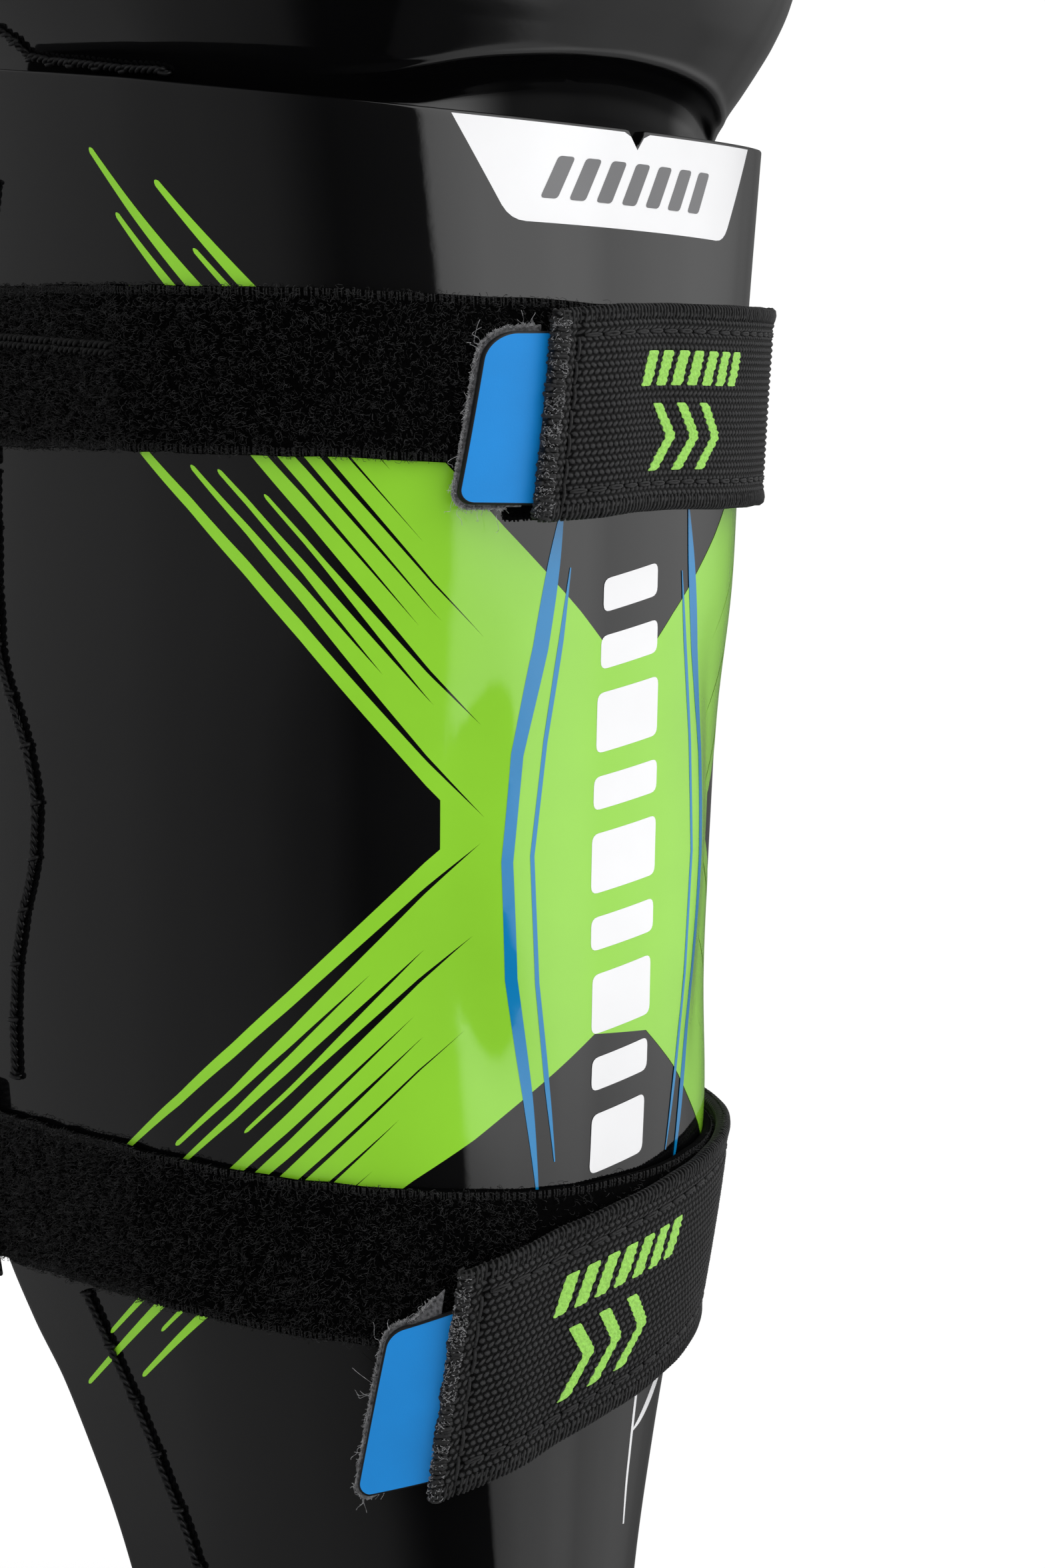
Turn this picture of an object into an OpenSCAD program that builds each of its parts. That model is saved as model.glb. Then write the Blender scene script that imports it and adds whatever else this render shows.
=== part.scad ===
// Junior ice hockey shin guard, right leg: sewn shell, knee cap, thigh guard,
// foam and liner, two hook-and-loop elastic straps with rubber pull tabs.
// Millimetres. +Z up the leg, -Y is the front, -X the outer (lateral) side.
// Origin: the lowest point of the shell lies at z = 0, on the plane x = 0.

/* [Shell] */
// Wall thickness of the moulded plastic shell
shell_thickness = 2.5; // [2:0.1:2.8]
// Height of the top edge of the shell at its front
shell_height = 251.7; // [249:0.1:252]
// How much higher the bottom edge is at the sides than at the front
bottom_arch = 6; // [0:1:8]
// Depth of the hollow pressed in on either side of the front spine
dish_depth = 2.3; // [0:0.1:2.6]
// Width of the small locating notch in the top edge
notch_width = 3.2; // [2:0.2:4]
// Depth of the small locating notch in the top edge
notch_depth = 2.5; // [1:0.1:3]

/* [Padding] */
// Thickness of the closed cell foam behind the shell
foam_thickness = 5; // [3:0.5:5]
// Thickness of the fabric comfort liner behind the foam
liner_thickness = 3.3; // [2:0.1:3.4]
// Thickness of the foam in the knee cap
knee_foam_thickness = 7; // [5:0.5:7]
// Thickness of the pad behind the thigh plate
thigh_pad_thickness = 11; // [8:1:12]

/* [Straps] */
// Width of the loop tapes sewn round the shell
tape_width = 24.6; // [22:0.2:26]
// Thickness of the loop tapes, pile included
tape_thickness = 1.4; // [1:0.1:1.5]
// Width of the elastic straps
strap_width = 30.5; // [28:0.5:32]
// Thickness of the elastic straps
strap_thickness = 2; // [1.6:0.1:2.2]
// How far the closed elastic stands behind the shell's rear edges
calf_bow = 17; // [14:1:30]
// Thickness of the rubber pull tabs
tab_thickness = 1.7; // [1.4:0.1:1.7]

/* [Stitching] */
// Length of one stitch with its gap
stitch_pitch = 9; // [8:0.5:12]
// Diameter of the waxed sewing thread
thread_diameter = 1.6; // [1.2:0.1:1.8]

/* [Hidden] */

shell_black = [0.06, 0.06, 0.065];
plate_black = [0.07, 0.07, 0.075];
foam_grey = [0.2, 0.2, 0.22];
lining_black = [0.1, 0.1, 0.11];
gusset_black = [0.09, 0.09, 0.1];
binding_black = [0.05, 0.05, 0.05];
tape_black = [0.03, 0.03, 0.03];
elastic_black = [0.13, 0.13, 0.13];
tab_blue = [0.05, 0.5, 0.8];
hook_grey = [0.25, 0.25, 0.25];
thread_black = [0.08, 0.08, 0.08];

// ---- helpers
function mix(a, b, t) = a + (b - a) * t;
function steps(from, to, count) = [for (i = [0:count]) mix(from, to, i / count)];
function smooth(t) = let (c = max(0, min(1, t))) c * c * (3 - 2 * c);

// smooth curve through knots [place, value] (Hermite, finite-difference slopes)
function knot_index(knots, x, i = 0) =
    i >= len(knots) - 2 || x < knots[i + 1][0] ? i : knot_index(knots, x, i + 1);
function slope(knots, i) =
    let (before = knots[max(i - 1, 0)], after = knots[min(i + 1, len(knots) - 1)])
    (after[1] - before[1]) / (after[0] - before[0]);
function curve(knots, place) =
    let (x = max(knots[0][0], min(knots[len(knots) - 1][0], place)),
         i = knot_index(knots, x),
         span = knots[i + 1][0] - knots[i][0],
         t = (x - knots[i][0]) / span)
    (2*t*t*t - 3*t*t + 1) * knots[i][1]
    + (t*t*t - 2*t*t + t) * span * slope(knots, i)
    + (-2*t*t*t + 3*t*t) * knots[i + 1][1]
    + (t*t*t - t*t) * span * slope(knots, i + 1);

// closed solid between two grids of points, rows upwards, columns round;
// seen from outside the solid, the columns of the first grid run left to right
function quad(corner, side_a, side_b) =
    [[corner, corner + side_a + side_b, corner + side_a],
     [corner, corner + side_b, corner + side_a + side_b]];
module grid_solid(outer, inner) {
    rows = len(outer);
    cols = len(outer[0]);
    total = rows * cols;
    last_row = total - cols;
    polyhedron(
        points = [for (grid = [outer, inner]) for (row = grid) each row],
        faces = concat(
            [for (i = [0:rows-2]) for (j = [0:cols-2]) let (corner = i * cols + j)
                each concat(quad(corner, 1, cols), quad(total + corner, cols, 1))],
            [for (j = [0:cols-2])
                each concat(quad(j, total, 1), quad(last_row + j, 1, total))],
            [for (i = [0:rows-2]) let (corner = i * cols)
                each concat(quad(corner, cols, total),
                            quad(corner + cols - 1, total, cols))]),
        convexity = 8);
}

// ---- cross-section: a superellipse round the front, then straight sides.
// "turn" is the place round the leg: 0 at the front, -1 at the outer side, 1 at the
// inner side; beyond these the section goes back side_per_turn for each unit.
// Offsets are measured outwards from the surface.
side_per_turn = 50;
section_exponent = 2.1;
side_taper = 0.045;       // share of the half width lost side_taper_length back
side_taper_length = 35;
function section(turn, half_width, depth) =
    let (angle = 90 * max(-1, min(1, turn)),
         back = max(abs(turn) - 1, 0) * side_per_turn)
    [half_width * sign(angle) * pow(abs(sin(angle)), 2 / section_exponent)
         * (1 - side_taper * pow(back / side_taper_length, 2)),
     -depth * pow(abs(cos(angle)), 2 / section_exponent) + back];
function on_section(turn, z, widths, depths, offset) =
    let (point = section(turn, curve(widths, z) + offset, curve(depths, z) + offset))
    [point[0], point[1], z];

// ---- shell surface
// [height, half width]
shell_widths = [[0, 35.5], [14, 34], [30, 34.7], [50, 38.6], [97, 49], [146, 53.6],
                [200, 54.6], [250, 60.1], [275, 63.5]];
// [height, front depth]
shell_depths = [[0, 51], [14, 49.8], [30, 50.4], [50, 51.3], [97, 54], [146, 53.3],
                [200, 52.4], [250, 50.6], [275, 50]];
// [height, y of the rear edge]
shell_rears = [[0, -4], [6, 5], [14, 11.5], [25, 17], [40, 23.5], [53.5, 29.5], [62.5, 35],
               [75, 40.5], [90, 43.5], [130, 44], [200, 44], [235, 43], [248, 38],
               [255, 31], [259, 24]];
dish_z = 142;             // height of the middle of the hollows
function rear_turn(z) = 1 + curve(shell_rears, z) / side_per_turn;
function spine_half(z) = 0.14 + 0.095 * exp(-pow((z - dish_z) / 28, 2));
function relief(turn, z) = dish_depth * exp(-pow((z - dish_z) / 34, 4))
    * smooth((abs(turn) - spine_half(z) + 0.02) / 0.16)
    * (1 - smooth((abs(turn) - 0.58) / 0.34));
function on_shell(turn, z, offset) =
    on_section(turn, z, shell_widths, shell_depths, offset - relief(turn, z));

// ---- shell
// "share" is the place round a layer as a share of the way to its rear edge, -1 to 1
rear_turn_guess = 1.85;
notch_per_share = 100;    // nominal millimetres for each unit of share at the notch
notch_share = notch_width / 2 / notch_per_share;
outer_shares = steps(-1, -0.015, 19);
inner_shares = steps(0.015, 1, 19);
function top_edge(turn) =
    shell_height + 4.6 * pow(min(abs(turn), 1), 2) + 4.5 * max(abs(turn) - 1, 0);
function bottom_edge(turn) = bottom_arch * pow(min(abs(turn), 1.1), 2);
function shell_z(turn, rise, drop) = mix(bottom_edge(turn), top_edge(turn) - drop, rise);
// turn and height depend on each other, so both are refined from a first guess
function shell_point(share, rise, offset) =
    let (drop = share == 0 ? notch_depth : 0,
         first_z = shell_z(share * rear_turn_guess, rise, drop),
         second_z = shell_z(share * rear_turn(first_z), rise, drop),
         turn = share * rear_turn(second_z))
    on_shell(turn, shell_z(turn, rise, drop), offset);
module shin_shell() {
    shares = concat(outer_shares, [-notch_share, 0, notch_share], inner_shares);
    function layer(offset) =
        [for (rise = steps(0, 1, 26)) [for (share = shares) shell_point(share, rise, offset)]];
    color(shell_black) grid_solid(layer(0), layer(-shell_thickness));
}

// ---- foam and liner inside the shell
layer_gap = 0.45;
liner_bottom = 6;
foam_bottom = 10;
padding_top = 236;
foam_outer = -shell_thickness - layer_gap;
foam_inner = foam_outer - foam_thickness;
liner_outer = foam_inner - layer_gap;
liner_inner = liner_outer - liner_thickness;
inset_start = 0.8;        // share beyond which a layer draws in from the shell's rear edge
function inset_turn(share, z, inset) = share * rear_turn(z)
    - sign(share) * max(0, abs(share) - inset_start) / (1 - inset_start)
      * inset / side_per_turn;
module inner_layer(outer, inner, bottom, inset) {
    shares = concat(outer_shares, [0], inner_shares);
    function layer(offset) = [for (z = steps(bottom, padding_top, 14))
        [for (share = shares) on_shell(inset_turn(share, z, inset), z, offset)]];
    grid_solid(layer(outer), layer(inner));
}
module shin_foam() color(foam_grey)
    inner_layer(foam_outer, foam_inner, bottom = foam_bottom, inset = 8);
module comfort_liner() color(lining_black)
    inner_layer(liner_outer, liner_inner, bottom = liner_bottom, inset = 3.4);

// edge binding that closes the liner to the foam along both rear edges
binding_insets = [2.6, 0.4];  // front and rear of the binding, from the shell's rear edge
module binding_side(side) {
    insets = side > 0 ? binding_insets : [binding_insets[1], binding_insets[0]];
    function layer(offset) = [for (z = steps(liner_bottom, padding_top, 14))
        [for (inset = insets)
            on_shell(side * (rear_turn(z) - inset / side_per_turn), z, offset)]];
    grid_solid(layer(foam_outer), layer(liner_inner));
}
module liner_binding() color(binding_black) {
    binding_side(-1);
    binding_side(1);
}

// ---- knee cap
// [height, half width]
knee_widths = [[242, 52.4], [250, 52.9], [254, 53.2], [258, 55.1], [262, 57.9], [266, 60.5],
               [270, 62.8], [276, 65.4], [285, 67.2], [300, 67.4], [315, 65.2], [330, 60.5],
               [342, 53.5], [350, 47]];
// [height, front depth]
knee_depths = [[242, 42.6], [250, 42.9], [254, 43], [258, 44.3], [262, 46.5], [266, 48.8],
               [270, 51.1], [276, 53.9], [285, 57], [300, 58.6], [315, 57.4], [330, 53],
               [342, 46.6], [350, 41]];
// [height, y of the rear edge]
knee_rears = [[242, 22], [250, 30], [258, 34], [266, 36], [285, 31], [300, 23], [320, 10],
              [335, -2], [345, -12], [350, -19]];
knee_thickness = 2.5;
knee_liner_thickness = 2.5;
plate_gap = 0.5;          // between neighbouring layers of the knee cap and thigh guard
knee_foam_outer = -knee_thickness - plate_gap;
knee_foam_inner = knee_foam_outer - knee_foam_thickness;
knee_liner_outer = knee_foam_inner - plate_gap;
knee_padding_z = [266, 338];
function on_knee(turn, z, offset) = on_section(turn, z, knee_widths, knee_depths, offset);
module knee_layer(outer, inner, z_range, inset, cols, rows) {
    function layer(offset) = [for (z = steps(z_range[0], z_range[1], rows))
        let (end = 1 + (curve(knee_rears, z) - inset) / side_per_turn)
        [for (share = steps(-1, 1, cols)) on_knee(share * end, z, offset)]];
    grid_solid(layer(outer), layer(inner));
}
module knee_cap() color(plate_black)
    knee_layer(0, -knee_thickness, [242, 350], inset = 0, cols = 30, rows = 27);
module knee_foam() color(foam_grey)
    knee_layer(knee_foam_outer, knee_foam_inner, knee_padding_z,
               inset = 5, cols = 20, rows = 9);
module knee_liner() color(lining_black)
    knee_layer(knee_liner_outer, knee_liner_outer - knee_liner_thickness, knee_padding_z,
               inset = 3, cols = 20, rows = 9);
// soft bridge between shin liner and knee cap, behind the shell's top edge
module knee_gusset() {
    function layer(offset) = [for (z = steps(237, 248, 4))
        [for (turn = steps(-1.2, 1.2, 24)) on_shell(turn, z, offset)]];
    color(gusset_black) grid_solid(layer(-10.9), layer(-12.5));
}

// ---- thigh guard
// [height, half width] and [height, front depth]
thigh_widths = [[338, 44], [360, 51], [400, 57], [440, 60]];
thigh_depths = [[338, 37], [360, 40], [400, 45], [440, 49]];
thigh_plate_thickness = 2.4;
thigh_pad_outer = -thigh_plate_thickness - plate_gap;
function on_thigh(turn, z, offset) = on_section(turn, z, thigh_widths, thigh_depths, offset);
// plate with rounded corners: its half turn shrinks within corner_height of both ends
module thigh_layer(outer, inner, bottom, top, half_turn, corner_height) {
    corner_turn = 0.3;
    rows = 12;
    function end_turn(z) =
        let (in_corner = 1 - min(1, min(z - bottom, top - z) / corner_height))
        half_turn - corner_turn * (1 - sqrt(1 - pow(in_corner, 2)));
    // the rows stand closer together near both ends
    function layer(offset) = [for (i = [0:rows])
        let (z = mix(bottom, top, (1 - cos(180 * i / rows)) / 2))
        [for (share = steps(-1, 1, 20)) on_thigh(share * end_turn(z), z, offset)]];
    grid_solid(layer(outer), layer(inner));
}
module thigh_plate() color(plate_black)
    thigh_layer(0, -thigh_plate_thickness, bottom = 353, top = 426,
                half_turn = 0.76, corner_height = 22);
module thigh_pad() color(lining_black)
    thigh_layer(thigh_pad_outer, thigh_pad_outer - thigh_pad_thickness, bottom = 349, top = 433,
                half_turn = 0.88, corner_height = 24);
// soft bridge between knee cap and thigh guard
module thigh_gusset() {
    function layer(offset) = [for (z = steps(338, 343, 3))
        [for (turn = steps(-0.6, 0.6, 14)) on_thigh(turn, z, offset)]];
    color(gusset_black) grid_solid(layer(-3), layer(-5));
}

// ---- loop tapes
gap = 0.15;               // under the tapes and under the hook patches
tape_outer = gap + tape_thickness;
upper_z = 213.8;          // upper tape and strap at the rear edges
lower_outer_z = 84.4;     // lower tape and strap at the outer rear edge
lower_inner_z = 89.4;     // and at the inner rear edge
across_steps = steps(-0.5, 0.5, 2);  // places across a band, as shares of its width
// [turn, centre height]
upper_tape_path = [[-1.85, upper_z], [-1, 213.4], [0, 213.2], [0.3, 213.6], [1, 213.6],
                   [1.85, upper_z]];
lower_tape_path = [[-1.85, lower_outer_z], [-1.4, 83.7], [-1, 83], [-0.7, 81.6],
                   [-0.45, 81], [-0.2, 80.6], [0, 81.8], [0.26, 84.4], [0.6, 87],
                   [1, 88.4], [1.85, lower_inner_z]];
module band(outer, inner, turns, path, width, cols) {
    function layer(offset) = [for (across = across_steps)
        [for (turn = steps(turns[0], turns[1], cols))
            on_shell(turn, curve(path, turn) + across * width, offset)]];
    grid_solid(layer(outer), layer(inner));
}
module loop_tape(path, end_turn)
    band(tape_outer, gap, [-end_turn, end_turn], path, tape_width, cols = 52);
module upper_loop_tape() color(tape_black) loop_tape(upper_tape_path, 1.86);
module lower_loop_tape() color(tape_black) loop_tape(lower_tape_path, 1.80);

// ---- elastic straps
// [turn, centre height] of the front parts
upper_strap_path = [[-0.22, 208.1], [0, 210.4], [0.2, 211.2], [0.6, 212.6], [1, 213.4],
                    [1.85, upper_z]];
lower_strap_path = [[-0.42, 63], [-0.23, 68.6], [0, 75], [0.2, 79.6], [0.5, 84.4], [1, 88],
                    [1.85, lower_inner_z]];
strap_inner = tape_outer + 0.5;             // under the elastic away from the tab
tab_inner = tape_outer + 1.05;              // under the tab, above the hook patch
fold_inner = tab_inner + tab_thickness + 0.2;  // under the elastic over the tab's end
split_turn = 1.26;        // where the front part meets the rear part
split_half_gap = 0.01;
// slant widens the band at its front end, as it runs aslant and is measured up the leg;
// end_skew is how much further round its top corner starts than its bottom corner
module strap_front(path, start, end_skew, slant, cols) {
    function base(turn) = mix(fold_inner, strap_inner, smooth((turn - start - 0.1) / 0.16));
    function layer(rise) = [for (across = across_steps)
        [for (turn = steps(start + end_skew * across, split_turn - split_half_gap, cols))
            let (width = strap_width * mix(slant, 1, smooth(turn - start)))
            on_shell(turn, curve(path, turn) + across * width, base(turn) + rise)]];
    grid_solid(layer(strap_thickness), layer(0));
}
module upper_strap_front() color(elastic_black)
    strap_front(upper_strap_path, start = -0.205, end_skew = 0.04, slant = 1.01, cols = 26);
module lower_strap_front() color(elastic_black)
    strap_front(lower_strap_path, start = -0.4, end_skew = 0.075, slant = 1.1, cols = 28);

// rear part: from the outer rear corner round the calf and forward to the split
module strap_rear(outer_z, inner_z, path) {
    corner_y = 0.86 * side_per_turn;
    function half_width(z) = abs(on_shell(1.84, z, strap_inner)[0]);
    function calf_point(angle, z, rise) =
        [-(half_width(z) + rise) * sign(cos(angle)) * pow(abs(cos(angle)), 0.5),
         corner_y + (calf_bow + rise) * pow(sin(angle), 0.8),
         z];
    function layer(rise) = [for (across = across_steps) let (lift = across * strap_width)
        concat(
            [for (angle = steps(1.5, 178.5, 24))
                calf_point(angle, mix(outer_z, inner_z, (1 - cos(angle)) / 2) + lift, rise)],
            [for (turn = steps(1.82, split_turn + split_half_gap, 5))
                on_shell(turn, curve(path, turn) + lift, strap_inner + rise)])];
    // the columns run the other way round, so the leg side is the first grid
    grid_solid(layer(0), layer(strap_thickness));
}
module upper_strap_rear() color(elastic_black)
    strap_rear(upper_z, upper_z, upper_strap_path);
module lower_strap_rear() color(elastic_black)
    strap_rear(lower_outer_z, lower_inner_z, lower_strap_path);

// sewn end of each elastic on the outer rear edge of the shell
module strap_anchor(z)
    band(strap_inner + strap_thickness, strap_inner, [-1.83, -1.77], [[-1.85, z], [-1, z]],
         strap_width, cols = 4);
module upper_strap_anchor() color(elastic_black) strap_anchor(upper_z);
module lower_strap_anchor() color(elastic_black) strap_anchor(lower_outer_z);

// ---- pull tabs and the hook patches under them
// corners [turn, height]: tip top, root top, tip bottom, root bottom
upper_tab_corners = [[-0.315, 220.4], [-0.207, 221.4], [-0.363, 195], [-0.245, 195]];
lower_tab_corners = [[-0.515, 74.2], [-0.385, 78.2], [-0.60, 48.6], [-0.445, 49.6]];
// how far each corner of a patch lies from the tab's
patch_margin = [[-0.003, 0.4], [-0.002, 0.4], [-0.003, -0.4], [-0.002, -0.4]];
module tab_sheet(corners, outer, inner) {
    tip_rounding = 0.028;  // turn by which the tip's corners are drawn in
    function layer(offset) = [for (t = steps(0, 1, 6))
        let (tip = mix(corners[2], corners[0], t)
                   + [tip_rounding * pow(abs(2 * t - 1), 6), 0],
             root = mix(corners[3], corners[1], t))
        [for (place = steps(tip, root, 6)) on_shell(place[0], place[1], offset)]];
    grid_solid(layer(outer), layer(inner));
}
module tab(corners) tab_sheet(corners, tab_inner + tab_thickness, tab_inner);
module hook_patch(corners)
    tab_sheet(corners + patch_margin, tab_inner - 0.08, tape_outer + gap);
module upper_tab() color(tab_blue) tab(upper_tab_corners);
module lower_tab() color(tab_blue) tab(lower_tab_corners);
module upper_hook_patch() color(hook_grey) hook_patch(upper_tab_corners);
module lower_hook_patch() color(hook_grey) hook_patch(lower_tab_corners);

// ---- stitching
stitch_trim = 0.06;       // share of a stitch left open at each end
// one stitch of thread between two points
module stitch(from, to, trim = stitch_trim) {
    start = mix(from, to, trim);
    run = mix(from, to, 1 - trim) - start;
    length = norm(run);
    translate(start) rotate([0, acos(run[2] / length), atan2(run[1], run[0])])
        cylinder(h = length, d = thread_diameter, $fn = 8);
}

// seam up each side of the shell: [height, turn]
seam_path = [[10, 0.85], [28.3, 0.99], [51.8, 1.192], [72.9, 1.411], [96.8, 1.61],
             [111.8, 1.613], [124.4, 1.568], [137.2, 1.468], [142.2, 1.441], [149.4, 1.46],
             [157.7, 1.53], [164.8, 1.626], [172, 1.69], [186, 1.72], [230, 1.72],
             [246, 1.60]];
seam_bottom = 12;
seam_top = 240;
slope_reach = 4;          // height over which the seam's slope is taken
function seam_slope(z) = side_per_turn
    * (curve(seam_path, z + slope_reach) - curve(seam_path, z)) / slope_reach;
function seam_heights(z) = z > seam_top ? []
    : concat([z], seam_heights(z + stitch_pitch / sqrt(1 + pow(seam_slope(z), 2))));
function under_tape(z) = (z > 66 && z < 99) || (z > 196 && z < 229);
module shell_seam(side) {
    heights = seam_heights(seam_bottom);
    function seam_point(z) =
        on_shell(side * curve(seam_path, z), z, thread_diameter / 2 + 0.12);
    for (i = [0:len(heights)-2])
        if (!under_tape(heights[i]) && !under_tape(heights[i + 1]))
            stitch(seam_point(heights[i]), seam_point(heights[i + 1]));
}
module lateral_shell_seam() color(thread_black) shell_seam(-1);
module medial_shell_seam() color(thread_black) shell_seam(1);
// row of heavy stitches along the upper tape on the outer side
module tape_stitching() color(thread_black)
    for (i = [0:3]) {
        turn = -1.02 - i * 0.15;
        z = 216.2 + i * 0.4;
        offset = tape_outer + 0.95;
        stitch(on_shell(turn, z, offset), on_shell(turn - 0.135, z, offset), trim = 0);
    }
// seam along the lower edge of the knee cap, on both sides
knee_stitches = 7;
function knee_seam_point(side, i) = let (t = i / knee_stitches)
    on_knee(side * mix(0.98, 1.5, t), 263.4 + 2 * pow(t, 2), thread_diameter / 2 + 0.35);
module knee_seam() color(thread_black)
    for (side = [-1, 1])
        for (i = [0:knee_stitches-1])
            stitch(knee_seam_point(side, i), knee_seam_point(side, i + 1));

shin_shell();
knee_cap();
thigh_plate();
thigh_pad();
knee_foam();
knee_liner();
knee_gusset();
thigh_gusset();
shin_foam();
comfort_liner();
liner_binding();
upper_loop_tape();
lower_loop_tape();
upper_strap_anchor();
lower_strap_anchor();
upper_strap_rear();
lower_strap_rear();
upper_strap_front();
lower_strap_front();
upper_tab();
lower_tab();
upper_hook_patch();
lower_hook_patch();
lateral_shell_seam();
medial_shell_seam();
tape_stitching();
knee_seam();
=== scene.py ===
"""Ice hockey shin guard: shin shell, knee cap and thigh guard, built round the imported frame.

It stands upright on z = 0. +Z is up, -Y the front, -X the lateral side, +X the medial side.
Lengths are millimetres unless said otherwise. A place on a surface is (turn, z, lift): turn is 0
on the front line and -1 or 1 at the sides, z the height, lift the distance off the surface.
"""
import math

import bpy
import numpy as np
from mathutils import Matrix, Vector, geometry


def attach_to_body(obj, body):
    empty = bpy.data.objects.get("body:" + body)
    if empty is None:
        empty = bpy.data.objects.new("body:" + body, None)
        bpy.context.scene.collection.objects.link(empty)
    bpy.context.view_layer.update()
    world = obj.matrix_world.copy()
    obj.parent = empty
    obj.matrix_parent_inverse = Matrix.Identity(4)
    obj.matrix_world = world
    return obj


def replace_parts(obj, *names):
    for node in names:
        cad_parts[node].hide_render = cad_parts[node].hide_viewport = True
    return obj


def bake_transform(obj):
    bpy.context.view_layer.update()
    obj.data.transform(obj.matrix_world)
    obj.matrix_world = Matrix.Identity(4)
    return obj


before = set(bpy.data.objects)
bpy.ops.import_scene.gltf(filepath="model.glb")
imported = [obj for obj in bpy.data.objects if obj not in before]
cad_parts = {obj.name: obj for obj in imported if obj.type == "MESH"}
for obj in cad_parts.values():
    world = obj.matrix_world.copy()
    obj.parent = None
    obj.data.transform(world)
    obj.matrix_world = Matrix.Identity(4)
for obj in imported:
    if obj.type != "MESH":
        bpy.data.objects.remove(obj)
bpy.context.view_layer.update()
scene = bpy.context.scene
MM = 0.001


def detail(quick, full):
    return full


# ------------------------------------------------------------------ driving dimensions
ROUNDNESS = 2.1     # exponent of the superellipse that every cross-section follows
SIDE_K = 50.0       # millimetres straight back for one unit of turn past the sides

# z, half width, depth in front of y = 0
SHIN = np.array([
    [0, 35.5, 51], [14, 34, 49.8], [30, 34.7, 50.4], [50, 38.6, 51.3], [97, 49, 54],
    [146, 53.6, 53.3], [200, 54.6, 52.4], [250, 60.1, 50.6], [275, 63.5, 50.0]])
KNEE = np.array([
    [242, 52.4, 42.6], [250, 52.9, 42.9], [254, 53.2, 43], [258, 55.1, 44.3], [262, 57.9, 46.5],
    [266, 60.5, 48.8], [270, 62.8, 51.1], [276, 65.4, 53.9], [285, 67.2, 57], [300, 67.4, 58.6],
    [315, 65.2, 57.4], [330, 60.5, 53], [342, 53.5, 46.6], [350, 47.0, 41.0]])
THIGH = np.array([[338, 44, 37], [360, 51, 40], [400, 57, 45], [440, 60.0, 49.0]])
# z, y of the rear edges
SHIN_REAR = np.array([
    [0, -4], [6, 5], [14, 11.5], [25, 17], [40, 23.5], [53.5, 30], [62.5, 36.3], [75, 42.6],
    [90, 44.2], [130, 44.2], [200, 44.2], [235, 43.6], [248, 41], [255, 36], [259, 29.0]])
KNEE_REAR = np.array([
    [242, 22], [250, 31], [256, 38.5], [266, 41], [285, 33], [300, 23], [320, 10], [335, -2],
    [345, -12], [350, -19.0]])
SHELL_T = 2.5       # shin and knee plastic

# layers over the shell
TAPE_W, TAPE_T, TAPE_GAP = 24.6, 1.4, 0.15
TAPE_TOP = TAPE_GAP + TAPE_T
STRAP_W, STRAP_T = 30.5, 2.0
STRAP_BASE = TAPE_TOP + 0.5
TAB_T = 1.7
TAB_BASE = TAPE_TOP + 1.05
FOLD_BASE = TAB_BASE + TAB_T + 0.2


# ------------------------------------------------------------------ numbers
def curve(x, stations, values):
    """Smooth cubic through the values at the stations, held flat beyond both ends."""
    x = np.clip(np.asarray(x, float), stations[0], stations[-1])
    slope = np.zeros_like(values)
    slope[1:-1] = (values[2:] - values[:-2]) / (stations[2:] - stations[:-2])
    slope[0] = (values[1] - values[0]) / (stations[1] - stations[0])
    slope[-1] = (values[-1] - values[-2]) / (stations[-1] - stations[-2])
    i = np.clip(np.searchsorted(stations, x, side="right") - 1, 0, len(stations) - 2)
    gap = stations[i + 1] - stations[i]
    part = (x - stations[i]) / gap
    return ((2 * part**3 - 3 * part**2 + 1) * values[i]
            + (part**3 - 2 * part**2 + part) * gap * slope[i]
            + (-2 * part**3 + 3 * part**2) * values[i + 1]
            + (part**3 - part**2) * gap * slope[i + 1])


def look_up(table, x, column=1):
    return curve(x, table[:, 0], table[:, column])


def smooth(x):
    """Eased step from 0 to 1."""
    x = np.clip(x, 0, 1)
    return x * x * (3 - 2 * x)


def hump(x, centre, width):
    """Bell of height 1."""
    return np.exp(-((x - centre) / width) ** 2)


def quarter(x):
    """Quarter circle rising from 0 at x = 0 to 1 at x = 1."""
    return np.sqrt(np.maximum(0, 1 - (1 - x) ** 2))


def eased(count):
    """0 to 1, closer together at both ends."""
    return 0.5 - 0.5 * np.cos(np.linspace(0, math.pi, count))


def half_wave(count):
    return np.sin(np.linspace(0, 1, count) * math.pi)


def spans(starts, length, count):
    """One row of evenly spread values for each start."""
    return starts[:, None] + np.linspace(0, 1, count)[None, :] * length


def unit(vectors):
    return vectors / np.maximum(np.linalg.norm(vectors, axis=-1, keepdims=True), 1e-9)


def run(points):
    """Distance travelled at each point of a path."""
    steps = np.linalg.norm(np.diff(points, axis=0), axis=1)
    return np.concatenate([[0], np.cumsum(steps)])


# ------------------------------------------------------------------ surfaces
RELIEF_Z = 142      # height of the middle of the shell's relief


def on_section(table, turn, z, lift):
    turn, z = np.broadcast_arrays(np.asarray(turn, float), np.asarray(z, float))
    width = look_up(table, z, 1) + lift
    front = look_up(table, z, 2) + lift
    angle = np.radians(90 * np.clip(turn, -1, 1))
    sine, cosine = np.sin(angle), np.cos(angle)
    back = np.maximum(np.abs(turn) - 1, 0) * SIDE_K
    x = (width * np.sign(sine) * np.abs(sine) ** (2 / ROUNDNESS)
         * (1 - 0.045 * (back / 35) ** 2))
    y = -front * np.abs(cosine) ** (2 / ROUNDNESS) + back
    return np.stack([x, y, z], -1)


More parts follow.
